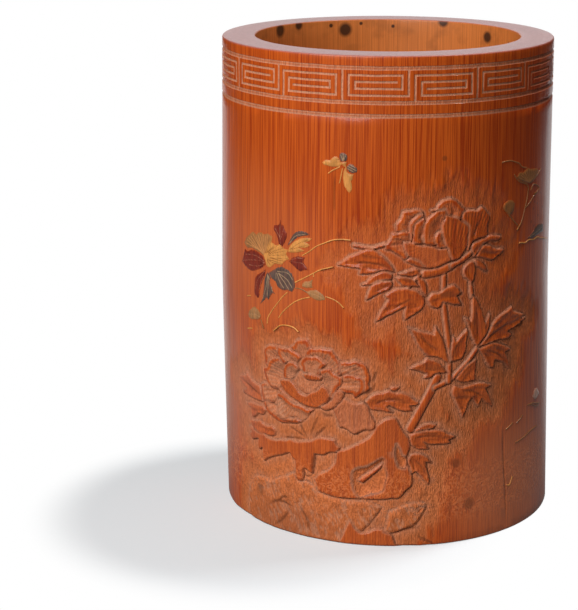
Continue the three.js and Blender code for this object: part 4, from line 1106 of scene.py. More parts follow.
LAID_FORMS = {
    "butterfly_wings": ("gold_lacquer", [-19.8,122.3, -19.3,122.8, -18.5,123.2, -17.3,123.2, -16.4,124.1, -15.6,124.4,
        -14.7,124.2, -14.2,123.5, -13.9,122.7, -12.9,122.9, -11.9,122.9, -12.2,122.2, -12,121.2, -11.9,120.2,
        -11.5,119.7, -10.7,119.3, -9.7,119.2, -10.1,118.4, -10.1,117.8, -10.5,117.2, -10.3,116, -10.3,114.6,
        -10.9,113.3, -11.3,113.7, -12.1,114.7, -12.7,115.9, -13,117.3, -13.1,119, -12.8,120.3, -12.4,121.3, -13.6,122,
        -14.1,121.5, -15.7,121.3, -17.2,121.3, -18.3,121.5, -19.3,121.7], [[-18.7,122.4, -18.5,122.5], [-17,122.95,
        -16.4,123.1], [-15.6,123.7, -14.4,123.5], [-10.8,115, -10.7,114.9], [-12.9,121.9, -13.6,122.3]]),
    "butterfly_upper_hindwing": ("slate_lacquer", [-13.9,123, -14.2,124.2, -14.1,125.3, -13.4,125.7, -12.6,125.5,
        -12,125, -11.8,124.2, -12.2,123.2, -12.9,122.9], [[-13.1,123, -13.9,125.2], [-13.1,123, -13.1,125.4],
        [-13.1,123, -12.2,125.2]]),
    "butterfly_lower_hindwing": ("slate_lacquer", [-11.9,121.3, -11.7,121.9, -11,122.4, -10.1,122.3, -9.3,121.7,
        -8.7,120.8, -8.8,120.1, -9.6,119.7, -10.4,119.6, -11.2,120, -11.8,120.6], [[-11.6,121.7, -8.9,120.4],
        [-11.7,121, -9.5,119.9], [-10.9,122.2, -9,121.2]]),
    "gold_bloom": ("gold_lacquer", [-52.3,92.7, -50.8,94.8, -49.3,95.8, -47.4,97.1, -45.7,96.6, -44.4,97.3, -42.9,97.7,
        -41.6,97.3, -40.3,97.7, -38.1,97.1, -38.4,95.2, -36.4,94.6, -34.8,95.6, -33.8,94.2, -31.6,93.9, -32.2,92.4,
        -31.2,90.9, -32.8,90.2, -34.2,88.8, -37,88.6, -39.1,87.1, -40.4,87.2, -41.2,88.6, -42.2,90.4, -45,91.2,
        -48,91.8, -50.6,91.4], [[-41.1,91.5, -42.2,97.2], [-41.6,91.2, -44.6,96.6], [-42.1,91, -47.1,96.4], [-42.8,91.2,
        -49.6,94.9], [-43.2,91.8, -51.4,92.9], [-40.9,91.6, -39.9,97], [-40.3,91.7, -36.7,94.8], [-39.8,91.6, -33.8,94],
        [-39.4,90.9, -31.7,92.2], [-39.2,89.9, -33.1,90], [-40,89.4, -36.6,88.5], [-40.6,91.4, -38.4,96], [-40.1,91.7,
        -35.2,95], [-39.6,91.3, -32.2,93.5], [-39.1,90.2, -31.9,90.9], [-40.8,91.4, -40.9,96.8], [-41.4,91.2, -43.4,97],
        [-41.8,91, -45.8,96], [-42.4,90.9, -48.4,95.6], [-43,91.4, -50.6,94], [-39.8,89.6, -34.8,89.2], [-40.2,89.2,
        -38.8,87.8]]),
    "gold_leaf": ("gold_lacquer", [-31.6,94, -30.1,96.1, -28,97.6, -25.5,98.4, -23,98.5, -23.9,97.6, -25.5,97.1,
        -23.7,96.3, -24.7,95.5, -27.5,95, -25.5,94.3, -27.3,93.7, -29.8,93.2, -31.8,93.1], [[-31,94, -27.6,96.4,
        -24.4,97.9], [-30.2,94.2, -25,96.1]]),
    "slate_leaf_top": ("slate_lacquer", [-32,94.9, -31.1,96.8, -29.8,98.9, -28.6,99.9, -26,100.4, -23.7,99.5,
        -26.2,98.9, -28.3,98.1, -30.1,96.6], [[-31.1,96, -28.8,98.6, -25,99.6]]),
    "russet_leaf_top": ("russet_lacquer", [-37.4,100.8, -37.5,99.4, -36.5,98.3, -35.7,96.2, -35.3,94.8, -34,94.6,
        -32.9,96.2, -32.2,99, -33.1,100, -33.6,101.5, -34.3,101.4, -34.7,102.9, -35.3,101.4, -36.2,101], [[-34.6,95.4,
        -34.9,98.6, -34.7,102], [-34.5,96.8, -33.3,100.4], [-34.9,97.4, -36.9,100]]),
    "russet_leaf_left": ("russet_lacquer", [-41.4,88.9, -43.5,90.6, -48,91.2, -50.6,90.2, -51.9,90.7, -52.8,88.6,
        -53.7,86.3, -51.9,85.3, -48.5,84.3, -45.7,85, -43.2,86.1, -41.2,87.6], [[-41.4,88.2, -44.2,88.4, -47.3,88,
        -50.6,87.3, -53.2,86.6], [-41.4,88.2, -43.2,87, -46,86.3, -49.3,86.1], [-41.4,88.6, -45.2,89.6, -49.3,89.4,
        -51.9,88.9]]),
    "russet_leaf_lower": ("russet_lacquer", [-41.1,86.1, -42.6,85, -46,82.7, -46.5,79.4, -46.5,77.3, -45,76.1,
        -44.4,76.5, -43.9,78.4, -42.6,82, -41.6,83.5], [[-41.4,85.5, -44.7,82, -46,78.4], [-41.6,84, -43.2,81.4,
        -44.2,78.6]]),
    "slate_leaf_left": ("slate_lacquer", [-40.3,85.5, -41.6,82.5, -41.9,79.4, -42.6,76.3, -43.7,74.5, -43.2,74.8,
        -40.6,77.1, -39.9,76.4, -39.1,77.6, -38,78.9, -37,78.9, -37.8,80.2, -39.1,82.5, -38.6,84.2], [[-40.1,84.6,
        -40.6,81, -42.4,76.2], [-39.9,84.4, -39.8,81, -40.2,77.6], [-39.5,84, -38.6,81.4, -37.9,79.6]]),
    "slate_leaf_right": ("slate_lacquer", [-39.6,85.3, -37.5,86.6, -34.4,88.1, -32.4,87.6, -30.3,86.6, -29.3,84.5,
        -29.1,82.2, -30.1,80.7, -31.9,80.9, -33.9,80.7, -35.7,81.4, -36.8,83, -38.2,83.6], [[-35.8,86.4, -31.4,86.3,
        -29.8,84.5], [-35.4,85.9, -31.9,84.3, -30,82], [-35.2,85.6, -32.4,82.7, -31.1,81], [-35.9,85.8, -35,83.5,
        -33.2,81.4], [-36.4,85.8, -36.4,84]]),
    "russet_leaf_right": ("russet_lacquer", [-31.4,90.2, -29.8,91.7, -27.5,92.3, -25.5,92.2, -26,90.7, -25,89.4,
        -24.2,88.4, -26,88.1, -27,87.6, -28.6,88.4, -30.1,89.4], [[-31.1,90.4, -28.8,90.4, -26.2,90.2, -24.8,88.9],
        [-30.3,90.8, -28.3,91.7, -26.2,91.9]]),
    "olive_leaf_upper": ("olive_lacquer", [-26.8,83, -25.7,84.5, -23.9,84.9, -22.7,85.6, -22.9,83.8, -22.4,83,
        -25.7,82.7], [[-26.4,83.2, -23.2,84.2]]),
    "olive_leaf_lower": ("olive_lacquer", [-25.3,81.5, -22.9,82.2, -21.1,82.4, -20.4,81.9, -18.8,80.7, -18.4,79.7,
        -20.1,79.2, -21.4,79.2, -23.4,80, -24.6,80.9], [[-24.8,81.3, -21.8,80.9, -19.2,80]]),
    "olive_bud_left": ("olive_lacquer", [-50.3,69.7, -49.6,70.9, -48,72.2, -46.7,72.9, -44.7,72.2, -43.4,70.7,
        -44.2,69.4, -46,68.9, -48.5,68.4, -49.8,68.8], [[-49.4,69.9, -46.4,70.4, -44,70.2], [-46.4,70.4, -46,72.2]]),
    "olive_bud_right": ("olive_lacquer", [40.5,106.4, 40.7,107.6, 41.9,108.4, 44.1,108.6, 45.5,107.4, 45.2,105.7,
        44.4,104.5, 42.9,103.9, 41.3,105.3], [[43,104.4, 43,108]]),
    "gold_thistle": ("olive_lacquer", [46.2,115.4, 48.1,116.8, 49.5,116.5, 52.2,117.5, 53.8,117, 56.2,116.7, 58.4,116.4,
        59.6,115.6, 59,114.6, 57.2,113.6, 54,112.4, 52,112.8, 50.3,113.3, 47.9,114.2], [[53.1,112.8, 48.1,115.9],
        [53.2,112.8, 50.4,116.5], [53.4,112.8, 53.3,116.9], [53.6,112.8, 56.2,116.5], [53.9,112.8, 58.6,115.4],
        [53.2,112.8, 49,116.2], [53.3,112.8, 51.8,117], [53.5,112.8, 54.8,116.6], [53.8,112.8, 57.6,116], [53,112.9,
        47.2,115.2]]),
    "shell_pebble": ("shell", [58.5,41.3, 59.2,42.7, 60.5,43.6, 61.5,43.6, 62.8,42.5, 64.1,41, 62.5,40.3, 61,39.9,
        59.4,40.3], []),
    "side_leaf": ("slate_lacquer", [53.1,95, 54.8,95.7, 56.7,96.4, 58.6,97.6, 62.1,97.9, 65.7,97.2, 65.7,94.8,
        59.8,94.8, 56.2,94.3], [[54.6,95.2, 64,96.4]]),
}

# Painted on too thinly to be a body of its own
THIN_FORMS = ("side_leaf",)

# Where a gold form is laid in a duller gold with brighter veins
RIGHT_SIDE = [30,90, 80,90, 80,130, 30,130]
DULL_PARTS = {
    "laid_gold_bloom": [-53,90, -53,99, -38.2,99, -38.6,96, -41.4,91.5, -42.4,90],
    "laid_gold_thistle": RIGHT_SIDE,
    "laid_olive_bud_right": RIGHT_SIDE,
}

# Lines laid on the skin, by material slot: width as a share of the stem width, and the line
LAID_LINES = {
    "gold_lacquer": [
        (1.3, [-16,90.2, -20.1,88.9, -22.4,87.6, -26,85.5, -29.1,83.8]),
        (0.9, [-22.4,87.6, -22.4,86.4]),
        (1.1, [-31.8,80.3, -33.9,78.4, -35.7,76.3, -37.3,74.5, -39.1,72.2, -40.3,70.4, -40.6,68.6]),
        (0.6, [-23.7,79.8, -26.2,79, -28.6,77.9, -31.4,75.8, -33.9,73.5, -35.5,71.5]),
        (0.55, [-28,68.1, -29.3,69.1, -32.1,69.5, -35,69, -37.8,66.8]),
        (0.9, [-26.4,92.7, -23.9,94.3, -21.6,96.1, -19.1,97.3, -16,98.6, -13,99, -10.5,98.9]),
        (0.6, [-18.3,80.6, -16,80, -14,79, -12.5,77.5]),
        (0.5, [-50.6,75.6, -48.5,76.1]),
        (0.5, [-50.8,64.8, -48,65.5]),
        (0.6, [-14,121.4, -15,120.8, -16.4,120.1, -17.8,119.1]),
        (0.6, [-13.2,121, -13.6,119, -13.9,117.3, -14.2,116.3]),
        (0.7, [48.5,94.3, 52.6,93.8, 53.3,94.2, 57.4,93.7, 60,94, 63.3,93.1, 66.2,92.5, 69.3,91.6, 72,91.1]),
        (0.9, [43.1,15.5, 44.3,14.8, 45.3,16, 46,17.6]),
    ],
    "olive_lacquer": [
        (0.8, [-28.8,82.1, -26.8,82, -24.6,81.2]),
        (0.7, [-43.6,69.4, -43,68, -42.4,66.6]),
        (0.7, [39.1,120.9, 40.8,121.1, 43.1,121, 45.5,120.3, 47.4,119.6, 48.8,118.4, 51.4,117.7]),
        (0.9, [44.9,116.5, 46.2,115, 47.9,113.8, 50.3,113, 51.9,112.4, 53,111.2]),
        (0.7, [61.7,115.7, 59.8,114.5, 57.4,113.5, 54,112.6]),
        (0.8, [53,111.2, 52.6,108.8, 51.9,106.7, 50.7,103.8, 49.3,100.7, 47.9,99.3, 47.2,98.6]),
        (0.6, [59.3,108.8, 56.4,107.8, 53.6,105.9, 51.7,105.2]),
        (0.6, [54.5,110, 56.2,111.6, 58.6,111.1, 60.9,110, 59.3,108.8, 56.9,108.6]),
        (0.6, [42.9,104, 45,102.1, 47.2,100.2]),
        (0.9, [54.5,39.5, 58.5,39.2, 61,38.4, 64.7,37.5]),
        (0.6, [57.2,39, 59.7,38, 63.5,37]),
        (0.5, [42.5,34.2, 44.6,35, 46,35.8]),
        (0.5, [48,35.2, 50,36, 51.5,37]),
        (0.4, [47.5,28.6, 52,29.2, 57,30.2, 62,30.4]),
    ],
}


def build_laid_form(name, outline, veins, lacquer):
    """A thin patch of lacquer with a rounded edge, from its outline."""
    outline = flowing(outline, steps=3)
    if signed_area(outline) < 0:
        outline = outline[::-1]
    low, high = outline.min(axis=0), outline.max(axis=0)
    along, height = np.meshgrid(*(np.arange(low[k], high[k], LAID_STEP) for k in (0, 1)), indexing="ij")
    inside = reach_inside(outline, along, height) > 0.55 * LAID_STEP
    flat = np.vstack([outline, np.stack([along[inside], height[inside]], -1)])
    found = delaunay_2d_cdt([Vector(p) for p in flat], [], [list(range(len(outline)))], 1, 1e-5)
    along, height = np.array([p[:] for p in found[0]]).T
    cells = [list(face) for face in found[2]]
    reach = np.maximum(0, reach_inside(outline, along, height))
    vein = np.full(len(along), FAR)
    for line in veins:
        vein = np.minimum(vein, gap_to_line(flowing(line, closed=False), along, height)[0])
    top = lacquer.proud / MM * (0.3 + 0.7 * ease(0, 0.6, reach)) - 0.05 * np.exp(-((vein / 0.2) ** 2))
    count = len(along)
    points = np.vstack([on_wall(along, height, top), on_wall(along, height, -lacquer.sunk / MM)])
    faces = cells + [[i + count for i in reversed(cell)] for cell in cells]
    sides = {}
    for cell in cells:
        for a, b in zip(cell, cell[1:] + cell[:1]):
            if (b, a) in sides:
                del sides[(b, a)]
            else:
                sides[(a, b)] = True
    faces += [[b, a, a + count, b + count] for a, b in sides]
    dull = np.zeros(count)
    if name in DULL_PARTS:
        dull = ease(-0.5, 0.5, reach_inside(np.reshape(DULL_PARTS[name], (-1, 2)), along, height))
    fields = {"vein": [*vein] * 2, "reach": [*reach] * 2, "dull": [*dull] * 2}
    return mesh_piece(name, points, faces, fields, sharp_angle=60)


def signed_area(outline):
    """Twice the area of an outline, positive when it runs anticlockwise."""
    following = np.roll(outline, -1, axis=0)
    return (outline[:, 0] * following[:, 1] - following[:, 0] * outline[:, 1]).sum()


def stem_tree(material):
    """A round laid line swept along curves, thinned by their own radius."""
    inputs = {"Lines": "Geometry", "Width": 0.0006, "Step": 0.0004, "Sides": 8, "Dull": 0.0}
    tree, given, result = new_group("Laid line", "GeometryNodeTree", inputs, {"Laid": "Geometry"})
    even = {"Curve": given["Lines"], "Length": given["Step"]}
    even = tree.add("GeometryNodeResampleCurve", even, mode="LENGTH")[0]
    section = {"Resolution": given["Sides"], "Radius": tree.times(given["Width"], 0.5)}
    section = tree.add("GeometryNodeCurvePrimitiveCircle", section)[0]
    swept = {"Curve": even, "Profile Curve": section, "Fill Caps": True}
    shape = tree.add("GeometryNodeCurveToMesh", swept)[0]
    shape = tree.add("GeometryNodeRealizeInstances", {"Geometry": shape})[0]
    for mark, value in (("vein", FAR), ("reach", FAR), ("dull", given["Dull"])):
        inputs = {"Geometry": shape, "Name": mark, "Value": value}
        shape = tree.add("GeometryNodeStoreNamedAttribute", inputs)[0]
    shape = tree.add("GeometryNodeSetMaterial", {"Geometry": shape, "Material": material})[0]
    tree.give(result, {"Laid": shape})
    return tree.tree


def build_laid_lines(name, lines, material, lacquer):
    """Every laid line of one lacquer, as one piece."""
    curve = bpy.data.curves.new(name, "CURVE")
    curve.dimensions = "3D"
    for width, line in lines:
        line = flowing(line, closed=False)
        places = on_wall(line[:, 0], line[:, 1], -0.06)
        spline = curve.splines.new("POLY")
        spline.points.add(len(places) - 1)
        share = np.linspace(0, 1, len(places))
        thin = np.minimum(1, np.minimum(share, 1 - share) * 8 + 0.35)
        for point, place, radius in zip(spline.points, places, width * thin):
            point.co = (*place, 1)
            point.radius = radius
    values = {"Width": lacquer.stem_width, "Dull": 1.0 if "olive" in name else 0.0}
    return grown(name, placed(name + "_lines", curve), stem_tree(material), values, sharp_angle=80)


# Finishes


def fibre_group():
    """Bamboo's fibres: fine streaks and broad bands up the culm, curled where its node is."""
    inputs = {
        "Position": "Vector", "Fibre Width": 0.00034, "Fibre Length": 0.04, "Node Height": 0.016, "Node Curl": 0.0012,
    }
    tree, given, result = new_group("Bamboo fibres", "ShaderNodeTree", inputs, {"Fibre": "Float", "Band": "Float"})
    place = given["Position"]
    rise = tree.add("ShaderNodeSeparateXYZ", {0: place})["Z"]
    near = tree.maths("DIVIDE", tree.maths("SUBTRACT", rise, given["Node Height"]), 0.0065)
    near = tree.maths("EXPONENT", tree.times(tree.times(near, near), -1.0))
    curl = tree.add("ShaderNodeTexNoise", {"Vector": place, "Scale": 260.0, "Detail": 1.0})["Color"]
    curl = tree.vectors("SUBTRACT", curl, (0.5, 0.5, 0.5))
    bent = tree.vectors("ADD", place, tree.vectors("SCALE", curl, tree.times(near, given["Node Curl"])))
    narrow, tall = (tree.maths("DIVIDE", 1.0, given[size]) for size in ("Fibre Width", "Fibre Length"))
    streaks = tree.stretched(bent, narrow, tree.times_plus(near, 250.0, tall))
    broad = tree.vectors("MULTIPLY", streaks, (0.16, 0.16, 0.3))
    tree.give(result, {"Fibre": tree.noise(streaks, "fibres"), "Band": tree.noise(broad, "bands")})
    return tree.tree


def chatter_group():
    """Short upright knife strokes, as the ground is hewn with."""
    inputs = {"Position": "Vector", "Stroke Width": 0.0003, "Stroke Length": 0.0013}
    tree, given, result = new_group("Knife strokes", "ShaderNodeTree", inputs, {"Stroke": "Float"})
    narrow, tall = (tree.maths("DIVIDE", 1.0, given[size]) for size in ("Stroke Width", "Stroke Length"))
    place = tree.stretched(given["Position"], narrow, tall)
    tree.give(result, {"Stroke": tree.ramp(tree.noise(place, "strokes"), 0.36, 0.64)})
    return tree.tree


def new_material(name):
    """A material with only its shader and output."""
    material = bpy.data.materials.new(name)
    material.use_nodes = True
    return material, Wiring(material.node_tree), material.node_tree.nodes["Principled BSDF"]


def opaque(colour):
    """A colour property as four numbers. A socket or a full colour stays as it is."""
    return colour if isinstance(colour, bpy.types.NodeSocket) or len(colour) == 4 else (*colour, 1.0)


# Dark stains in the well: place in mm, and size
STAINS = [
    ((-36.9, 22.9, 153.2), 2.3), ((-30.9, 30.2, 154.2), 1.6), ((-15.4, 40.1, 151.6), 2.3), ((-20.2, 37.9, 153.2), 0.7),
    ((18.1, 38.1, 154.8), 1.9), ((32.6, 26.3, 151.0), 1.9), ((39.8, 15, 150.4), 0.9), ((-10, 41.6, 153.6), 0.6),
    ((1, 42.6, 152.6), 0.6),
]
STAIN_COLOUR = (0.02, 0.008, 0.004)
# Noises of the finishes: scale per metre, detail, and distortion where there is any
NOISES = {
    "wear": (45.0, 3.0), "curl": (620.0, 1.0, 1.6), "pores": (1500.0, 2.0), "blotches": (160.0, 4.0),
    "clouds": (420.0, 3.0), "fibres": (1.0, 3.0), "bands": (1.0, 2.0), "strokes": (1.0, 1.5),
}
CURL_HEIGHT = 17  # where the curly grain over the node is strongest
# Bud scars and dark spots on the skin: along, height and size
SCARS = [
    (27.5, 12.4, 1.9), (22.9, 26.6, 1.5), (18.2, 124, 0.8), (-46.5, 11.5, 1.8), (56.7, 103.9, 0.5), (57.6, 105.9, 0.4),
    (55.5, 99.8, 0.5), (57.4, 98.2, 0.4), (59.5, 105, 0.4), (64.5, 102.9, 0.5), (62, 108, 0.4), (60.5, 101, 0.4),
]


# Patches laid over the skin by place: painted light and sheen, paler and pinker on the left; painted shade, darker at
# the right top and at the front left of the foot; and a paler patch low at the right front. Each has the middle, how
# far it reaches, the colour and its share
SHADE_AND_TONE_PATCHES = [
    ((-55, -12, 42), 40, (0.62, 0.24, 0.15), 0.6),
    ((-40, -36, 90), 40, (0.62, 0.17, 0.06), 0.4),
    ((52, -16, 125), 48, (0.36, 0.022, 0.001), 0.4),
    ((40, -36, 16), 34, (0.86, 0.28, 0.12), 0.48),
    ((-32, -42, -4), 24, (0.26, 0.08, 0.035), 0.35),
]


def tint(colour, factor):
    """A colour made darker or lighter."""
    return opaque([min(1, c * factor) for c in colour])


def toned(tree, place, colour):
    """The colour with the painted light and shade patches, and the paler patch, laid over it."""
    for centre, reach, tone, share in SHADE_AND_TONE_PATCHES:
        gap = tree.vectors("DISTANCE", place, [c * MM for c in centre])
        near = tree.ramp(gap, reach * MM, 0.2 * reach * MM, 0.0, share, "SMOOTHSTEP")
        colour = tree.mixed(near, colour, tone)
    return colour


def spots(tree, place, marks):
    """A mask of soft round spots."""
    total = 0.0
    for centre, size in marks:
        gap = tree.vectors("DISTANCE", place, [c * MM for c in centre])
        total = tree.maths("MAXIMUM", total, tree.ramp(gap, size * 1.25 * MM, size * 0.7 * MM))
    return total


def bamboo_material(finish, fibres, strokes):
    """Aged, varnished bamboo: skin, opened cuts, rim and well by the points' own marks."""
    material, tree, shader = new_material("Aged bamboo")
    place = tree.place()
    cut, facet, patina, bore, end_grain = tree.marks("cut", "facet", "patina", "bore", "end_grain")
    grain = tree.group(fibres, Position=place)
    fibre, stroke = grain["Fibre"], tree.group(strokes, Position=place)["Stroke"]
    soft = tree.noise(place, "wear")

    shade = tree.times_plus(grain["Band"], 1.3, tree.times_plus(fibre, 5.0, -2.7))
    shade = tree.clamped(tree.times_plus(shade, 0.75, 0.25))
    colour = tree.mixed(shade, finish.skin_dark, finish.skin)
    hewn = tree.times_plus(stroke, 0.6, tree.times(tree.ramp(fibre, 0.38, 0.6), 0.4))
    opened = tree.mixed(hewn, tint(finish.cut, 0.7), tint(finish.cut, 1.25))
    colour = tree.mixed(tree.times(cut, 0.9), colour, opened)
    opened = tree.mixed(hewn, tint(finish.facet, 0.66), tint(finish.facet, 1.15))
    colour = tree.mixed(tree.times(facet, 0.85), colour, opened)
    level = tree.maths("SUBTRACT", tree.add("ShaderNodeSeparateXYZ", {0: place})["Z"], CURL_HEIGHT * MM)
    near = tree.ramp(tree.maths("ABSOLUTE", level), 0.012, 0.005, kind="SMOOTHSTEP")
    curl = tree.times(near, tree.ramp(tree.noise(place, "curl"), 0.47, 0.6))
    colour = tree.mixed(tree.times(curl, 0.5), colour, tint(finish.cut, 1.45))
    # painted light on the left, painted shade at the right top and at the foot
    colour = toned(tree, place, colour)
    dots = tree.ramp(tree.noise(place, "pores"), 0.35, 0.6)
    worn = tree.times_plus(soft, 0.6, tree.times(dots, 0.5))
    # the rim's end grain, its mauve-grey colour holding a painted sheen
    rim = tree.mixed(worn, tint(finish.end_grain, 0.68), tint(finish.end_grain, 1.1))
    colour = tree.mixed(end_grain, colour, rim)
    well = tree.mixed(tree.times_plus(fibre, 1.6, -0.3), tint(finish.bore, 0.55), finish.bore)
    blotch = tree.ramp(tree.noise(place, "blotches"), 0.5, 0.68)
    well = tree.mixed(tree.times(blotch, 0.45), well, tint(finish.bore, 0.4))
    well = tree.mixed(tree.times(spots(tree, place, STAINS), 0.9), well, STAIN_COLOUR)
    colour = tree.mixed(bore, colour, well)
    # dark crease colour: dirt, with painted shade on the side of each cut away from the light
    colour = tree.mixed(tree.times(patina, 0.75), colour, finish.patina)
    scars = [(on_wall(along, height) / MM, size) for along, height, size in SCARS]
    colour = tree.mixed(tree.times(spots(tree, place, scars), 0.5), colour, finish.patina)

    rough = 0.3
    for mark, share in ((cut, 0.3), (facet, 0.3), (bore, 0.2), (soft, 0.08)):
        rough = tree.times_plus(mark, share, rough)
    relief = tree.times(stroke, tree.clamped(tree.times(cut, 2.0)))
    relief = tree.times_plus(curl, 0.4, tree.times_plus(fibre, 0.6, relief))
    opened = tree.maths("MAXIMUM", cut, tree.maths("MAXIMUM", facet, end_grain))
    tree.give(shader, {
        "Base Color": colour,
        "Roughness": rough,
        "Normal": tree.add("ShaderNodeBump", {"Height": relief, "Strength": 0.65, "Distance": 0.00024})[0],
        "Coat Weight": tree.clamped(tree.times_plus(opened, -0.3, 0.3)),
        "Coat Roughness": 0.14,
        "Specular IOR Level": 0.25,
    })
    return material


def lacquer_material(name, colour, vein, finish, fibres, vein_width=0.13, roughness=0.34, dulled=(0.42, 0.18, 0.06)):
    """Laid lacquer of one colour with veins drawn in another, worn through to the skin in places."""
    material, tree, shader = new_material(name)
    place = tree.place()
    line, reach, dull = tree.marks("vein", "reach", "dull")
    fibre = tree.group(fibres, Position=place, Fibre_Width=0.0003, Fibre_Length=0.006)["Fibre"]
    cloud = tree.noise(place, "clouds")
    shade = tree.clamped(tree.times_plus(fibre, 2.4, tree.times_plus(cloud, 1.4, -1.4)))
    base = tree.mixed(shade, tint(colour, 0.62), tint(colour, 1.22))
    base = tree.mixed(dull, base, tree.mixed(shade, tint(dulled, 0.7), tint(dulled, 1.2)))
    drawn = tree.times(tree.ramp(line, vein_width * 1.4, vein_width * 0.5), 0.8)
    base = tree.mixed(drawn, base, tree.mixed(dull, vein, tint(dulled, 1.9)))
    worn = tree.times(tree.ramp(reach, 0.4, 0.0, 0.15), tree.ramp(fibre, 0.42, 0.62))
    tree.give(shader, {
        "Base Color": tree.mixed(worn, base, tint(finish.skin, 0.8)),
        "Roughness": tree.times_plus(cloud, 0.2, roughness - 0.1),
        "Normal": tree.add("ShaderNodeBump", {"Height": fibre, "Strength": 0.4, "Distance": 0.0001})[0],
        "Specular IOR Level": 0.3,
    })
    return material


def make_finishes(finish):
    """Every material, by the record's slot name."""
    fibres = fibre_group()

    def lacquer(name, colour, vein, *others, **more):
        return lacquer_material(name, colour, vein, finish, fibres, *others, **more)

    return {
        "bamboo": bamboo_material(finish, fibres, chatter_group()),
        "gold_lacquer": lacquer("Gold lacquer", finish.gold, (0.26, 0.085, 0.02)),
        "olive_lacquer": lacquer("Olive lacquer", finish.olive, (0.60, 0.32, 0.15), dulled=(0.33, 0.13, 0.04)),
        "russet_lacquer": lacquer("Russet lacquer", finish.russet, (0.52, 0.21, 0.12), 0.11),
        "slate_lacquer": lacquer("Slate lacquer", finish.slate, (0.52, 0.34, 0.19), 0.14),
        "shell": lacquer("Mother of pearl", finish.shell, finish.shell, 0.1, 0.22),
    }


FINISHES = {}


def finish_piece(piece, slot, replaced=()):
    """Coats a piece, stands it for its nodes and makes it ride with the pot."""
    piece.data.materials.clear()
    piece.data.materials.append(FINISHES[slot])
    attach(piece, "root")
    if replaced:
        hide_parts(*replaced)


class POT_OT_finishes(bpy.types.Operator):
    """Makes the bamboo and the lacquers"""

    bl_idname = "pot.finishes"
    bl_label = "Finishes"

    def execute(self, context):
        FINISHES.update(make_finishes(context.scene.pot_finish))
        return {"FINISHED"}


class POT_OT_culm_body(bpy.types.Operator):
    """Builds the culm below the border, with its carving"""

    bl_idname = "pot.culm_body"
    bl_label = "Carved culm"

    def execute(self, context):
        piece = build_culm_body(context.scene.pot_carving)
        print("culm_body", check_closed(piece), "triangles")
        finish_piece(piece, "bamboo", ["bamboo_culm"])
        return {"FINISHED"}


class POT_OT_border(bpy.types.Operator):
    """Builds the rim with its key-fret border"""

    bl_idname = "pot.border"
    bl_label = "Rim and border"

    def execute(self, context):
        values = {
            "Repeats": FRET_REPEATS,
            "Axis Shift": float(axis_shift(HEIGHT)) * MM,
            "Unevenness": 0.35 * MM,
            "Unevenness Size": 180.0,
            "Seed": 4.0,
        }
        tree = border_tree(FINISHES["bamboo"])
        piece = grown("rim_border", build_border_sector(), tree, values, sharp_angle=35)
        print("rim_border", check_closed(piece), "triangles")
        finish_piece(piece, "bamboo", ["bamboo_culm"])
        return {"FINISHED"}


class POT_OT_laid_forms(bpy.types.Operator):
    """Lays the lacquered butterfly, leaves and flowers"""

    bl_idname = "pot.laid_forms"
    bl_label = "Laid lacquer"

    def execute(self, context):
        for node, (slot, outline, veins) in LAID_FORMS.items():
            piece = build_laid_form("laid_" + node, outline, veins, context.scene.pot_lacquer)
            check_closed(piece)
            finish_piece(piece, slot, [] if node in THIN_FORMS else [node])
        return {"FINISHED"}


class POT_OT_laid_lines(bpy.types.Operator):
    """Lays the thin gold stems"""

    bl_idname = "pot.laid_lines"
    bl_label = "Laid stems"

    def execute(self, context):
        for slot, lines in LAID_LINES.items():
            name = slot.replace("lacquer", "stems")
            piece = build_laid_lines(name, lines, FINISHES[slot], context.scene.pot_lacquer)
            finish_piece(piece, slot)
        return {"FINISHED"}


# Stage

CAMERA_PLACE = Vector((-0.93, -611.7, 228.9)) * MM
CAMERA_TURN = math.radians(-2.97)
CAMERA_TILT = math.radians(15.06)
LAMPS = {"key": ((-0.48, -0.76, 0.70), 0.9), "high": ((0.31, 0.14, 0.93), 0.18)}  # place and width in metres
SHADED_FLOOR = (-0.038, -0.025, 0)  # the middle of the floor that shows the pot's shadow, in metres
SHADED_REACH = (0.057, 0.082)  # where that floor starts to turn white, and where it is white


def lamp(name, place, size, power):
    """A soft square lamp that points at the pot's middle."""
    light = bpy.data.lights.new(name, "AREA")
    light.size = size
    light.energy = power
    holder = placed(name, light)
    holder.location = place
    holder.rotation_euler = (Vector((0, 0, HEIGHT / 2 * MM)) - Vector(place)).to_track_quat("-Z", "Y").to_euler()


def sweep_profile(front, back, turn, top):
    """A sheet's side view: flat, then curved up into a wall. Pairs of depth and height in metres."""
    line = [(front, 0.0), (-0.2, 0.0), (0.2, 0.0), (back, 0.0)]
    for k in range(1, 9):
        angle = k / 8 * math.pi / 2
        line.append((back + turn * math.sin(angle), turn * (1 - math.cos(angle))))
    return line + [(back + turn, top)]


def floor_material(white_near):
    """Pale paper that shows plain white away from the pot, and dark to the pot's reflections."""
    material, tree, shader = new_material("Pale paper")
    place = tree.place()
    away = tree.vectors("DISTANCE", place, SHADED_FLOOR)
    white = tree.ramp(away, *SHADED_REACH, white_near, kind="SMOOTHSTEP")
    path = tree.add("ShaderNodeLightPath")
    seen = path["Is Camera Ray"]
    tree.give(shader, {"Roughness": 0.9, "Base Color": tree.mixed(seen, (0.12, 0.12, 0.12), (0.88, 0.94, 0.97))})
    mirrored = tree.maths("MAXIMUM", path["Is Glossy Ray"], path["Is Transmission Ray"])
    apart = tree.add("ShaderNodeSeparateXYZ", {0: place})
    behind = tree.maths("SUBTRACT", apart["Y"], tree.times(tree.maths("ABSOLUTE", apart["X"]), 1.35))
    behind = tree.ramp(behind, -0.08, 0.02, 0.12)
    share = tree.maths("MAXIMUM", tree.times(seen, white), tree.times(mirrored, behind))
    glow = tree.add("ShaderNodeEmission", {"Color": (1, 1, 1, 1), "Strength": 1.0})[0]
    both = tree.add("ShaderNodeMixShader", {0: share, 1: shader.outputs[0], 2: glow})[0]
    tree.give(material.node_tree.nodes["Material Output"], {"Surface": both})
    return material


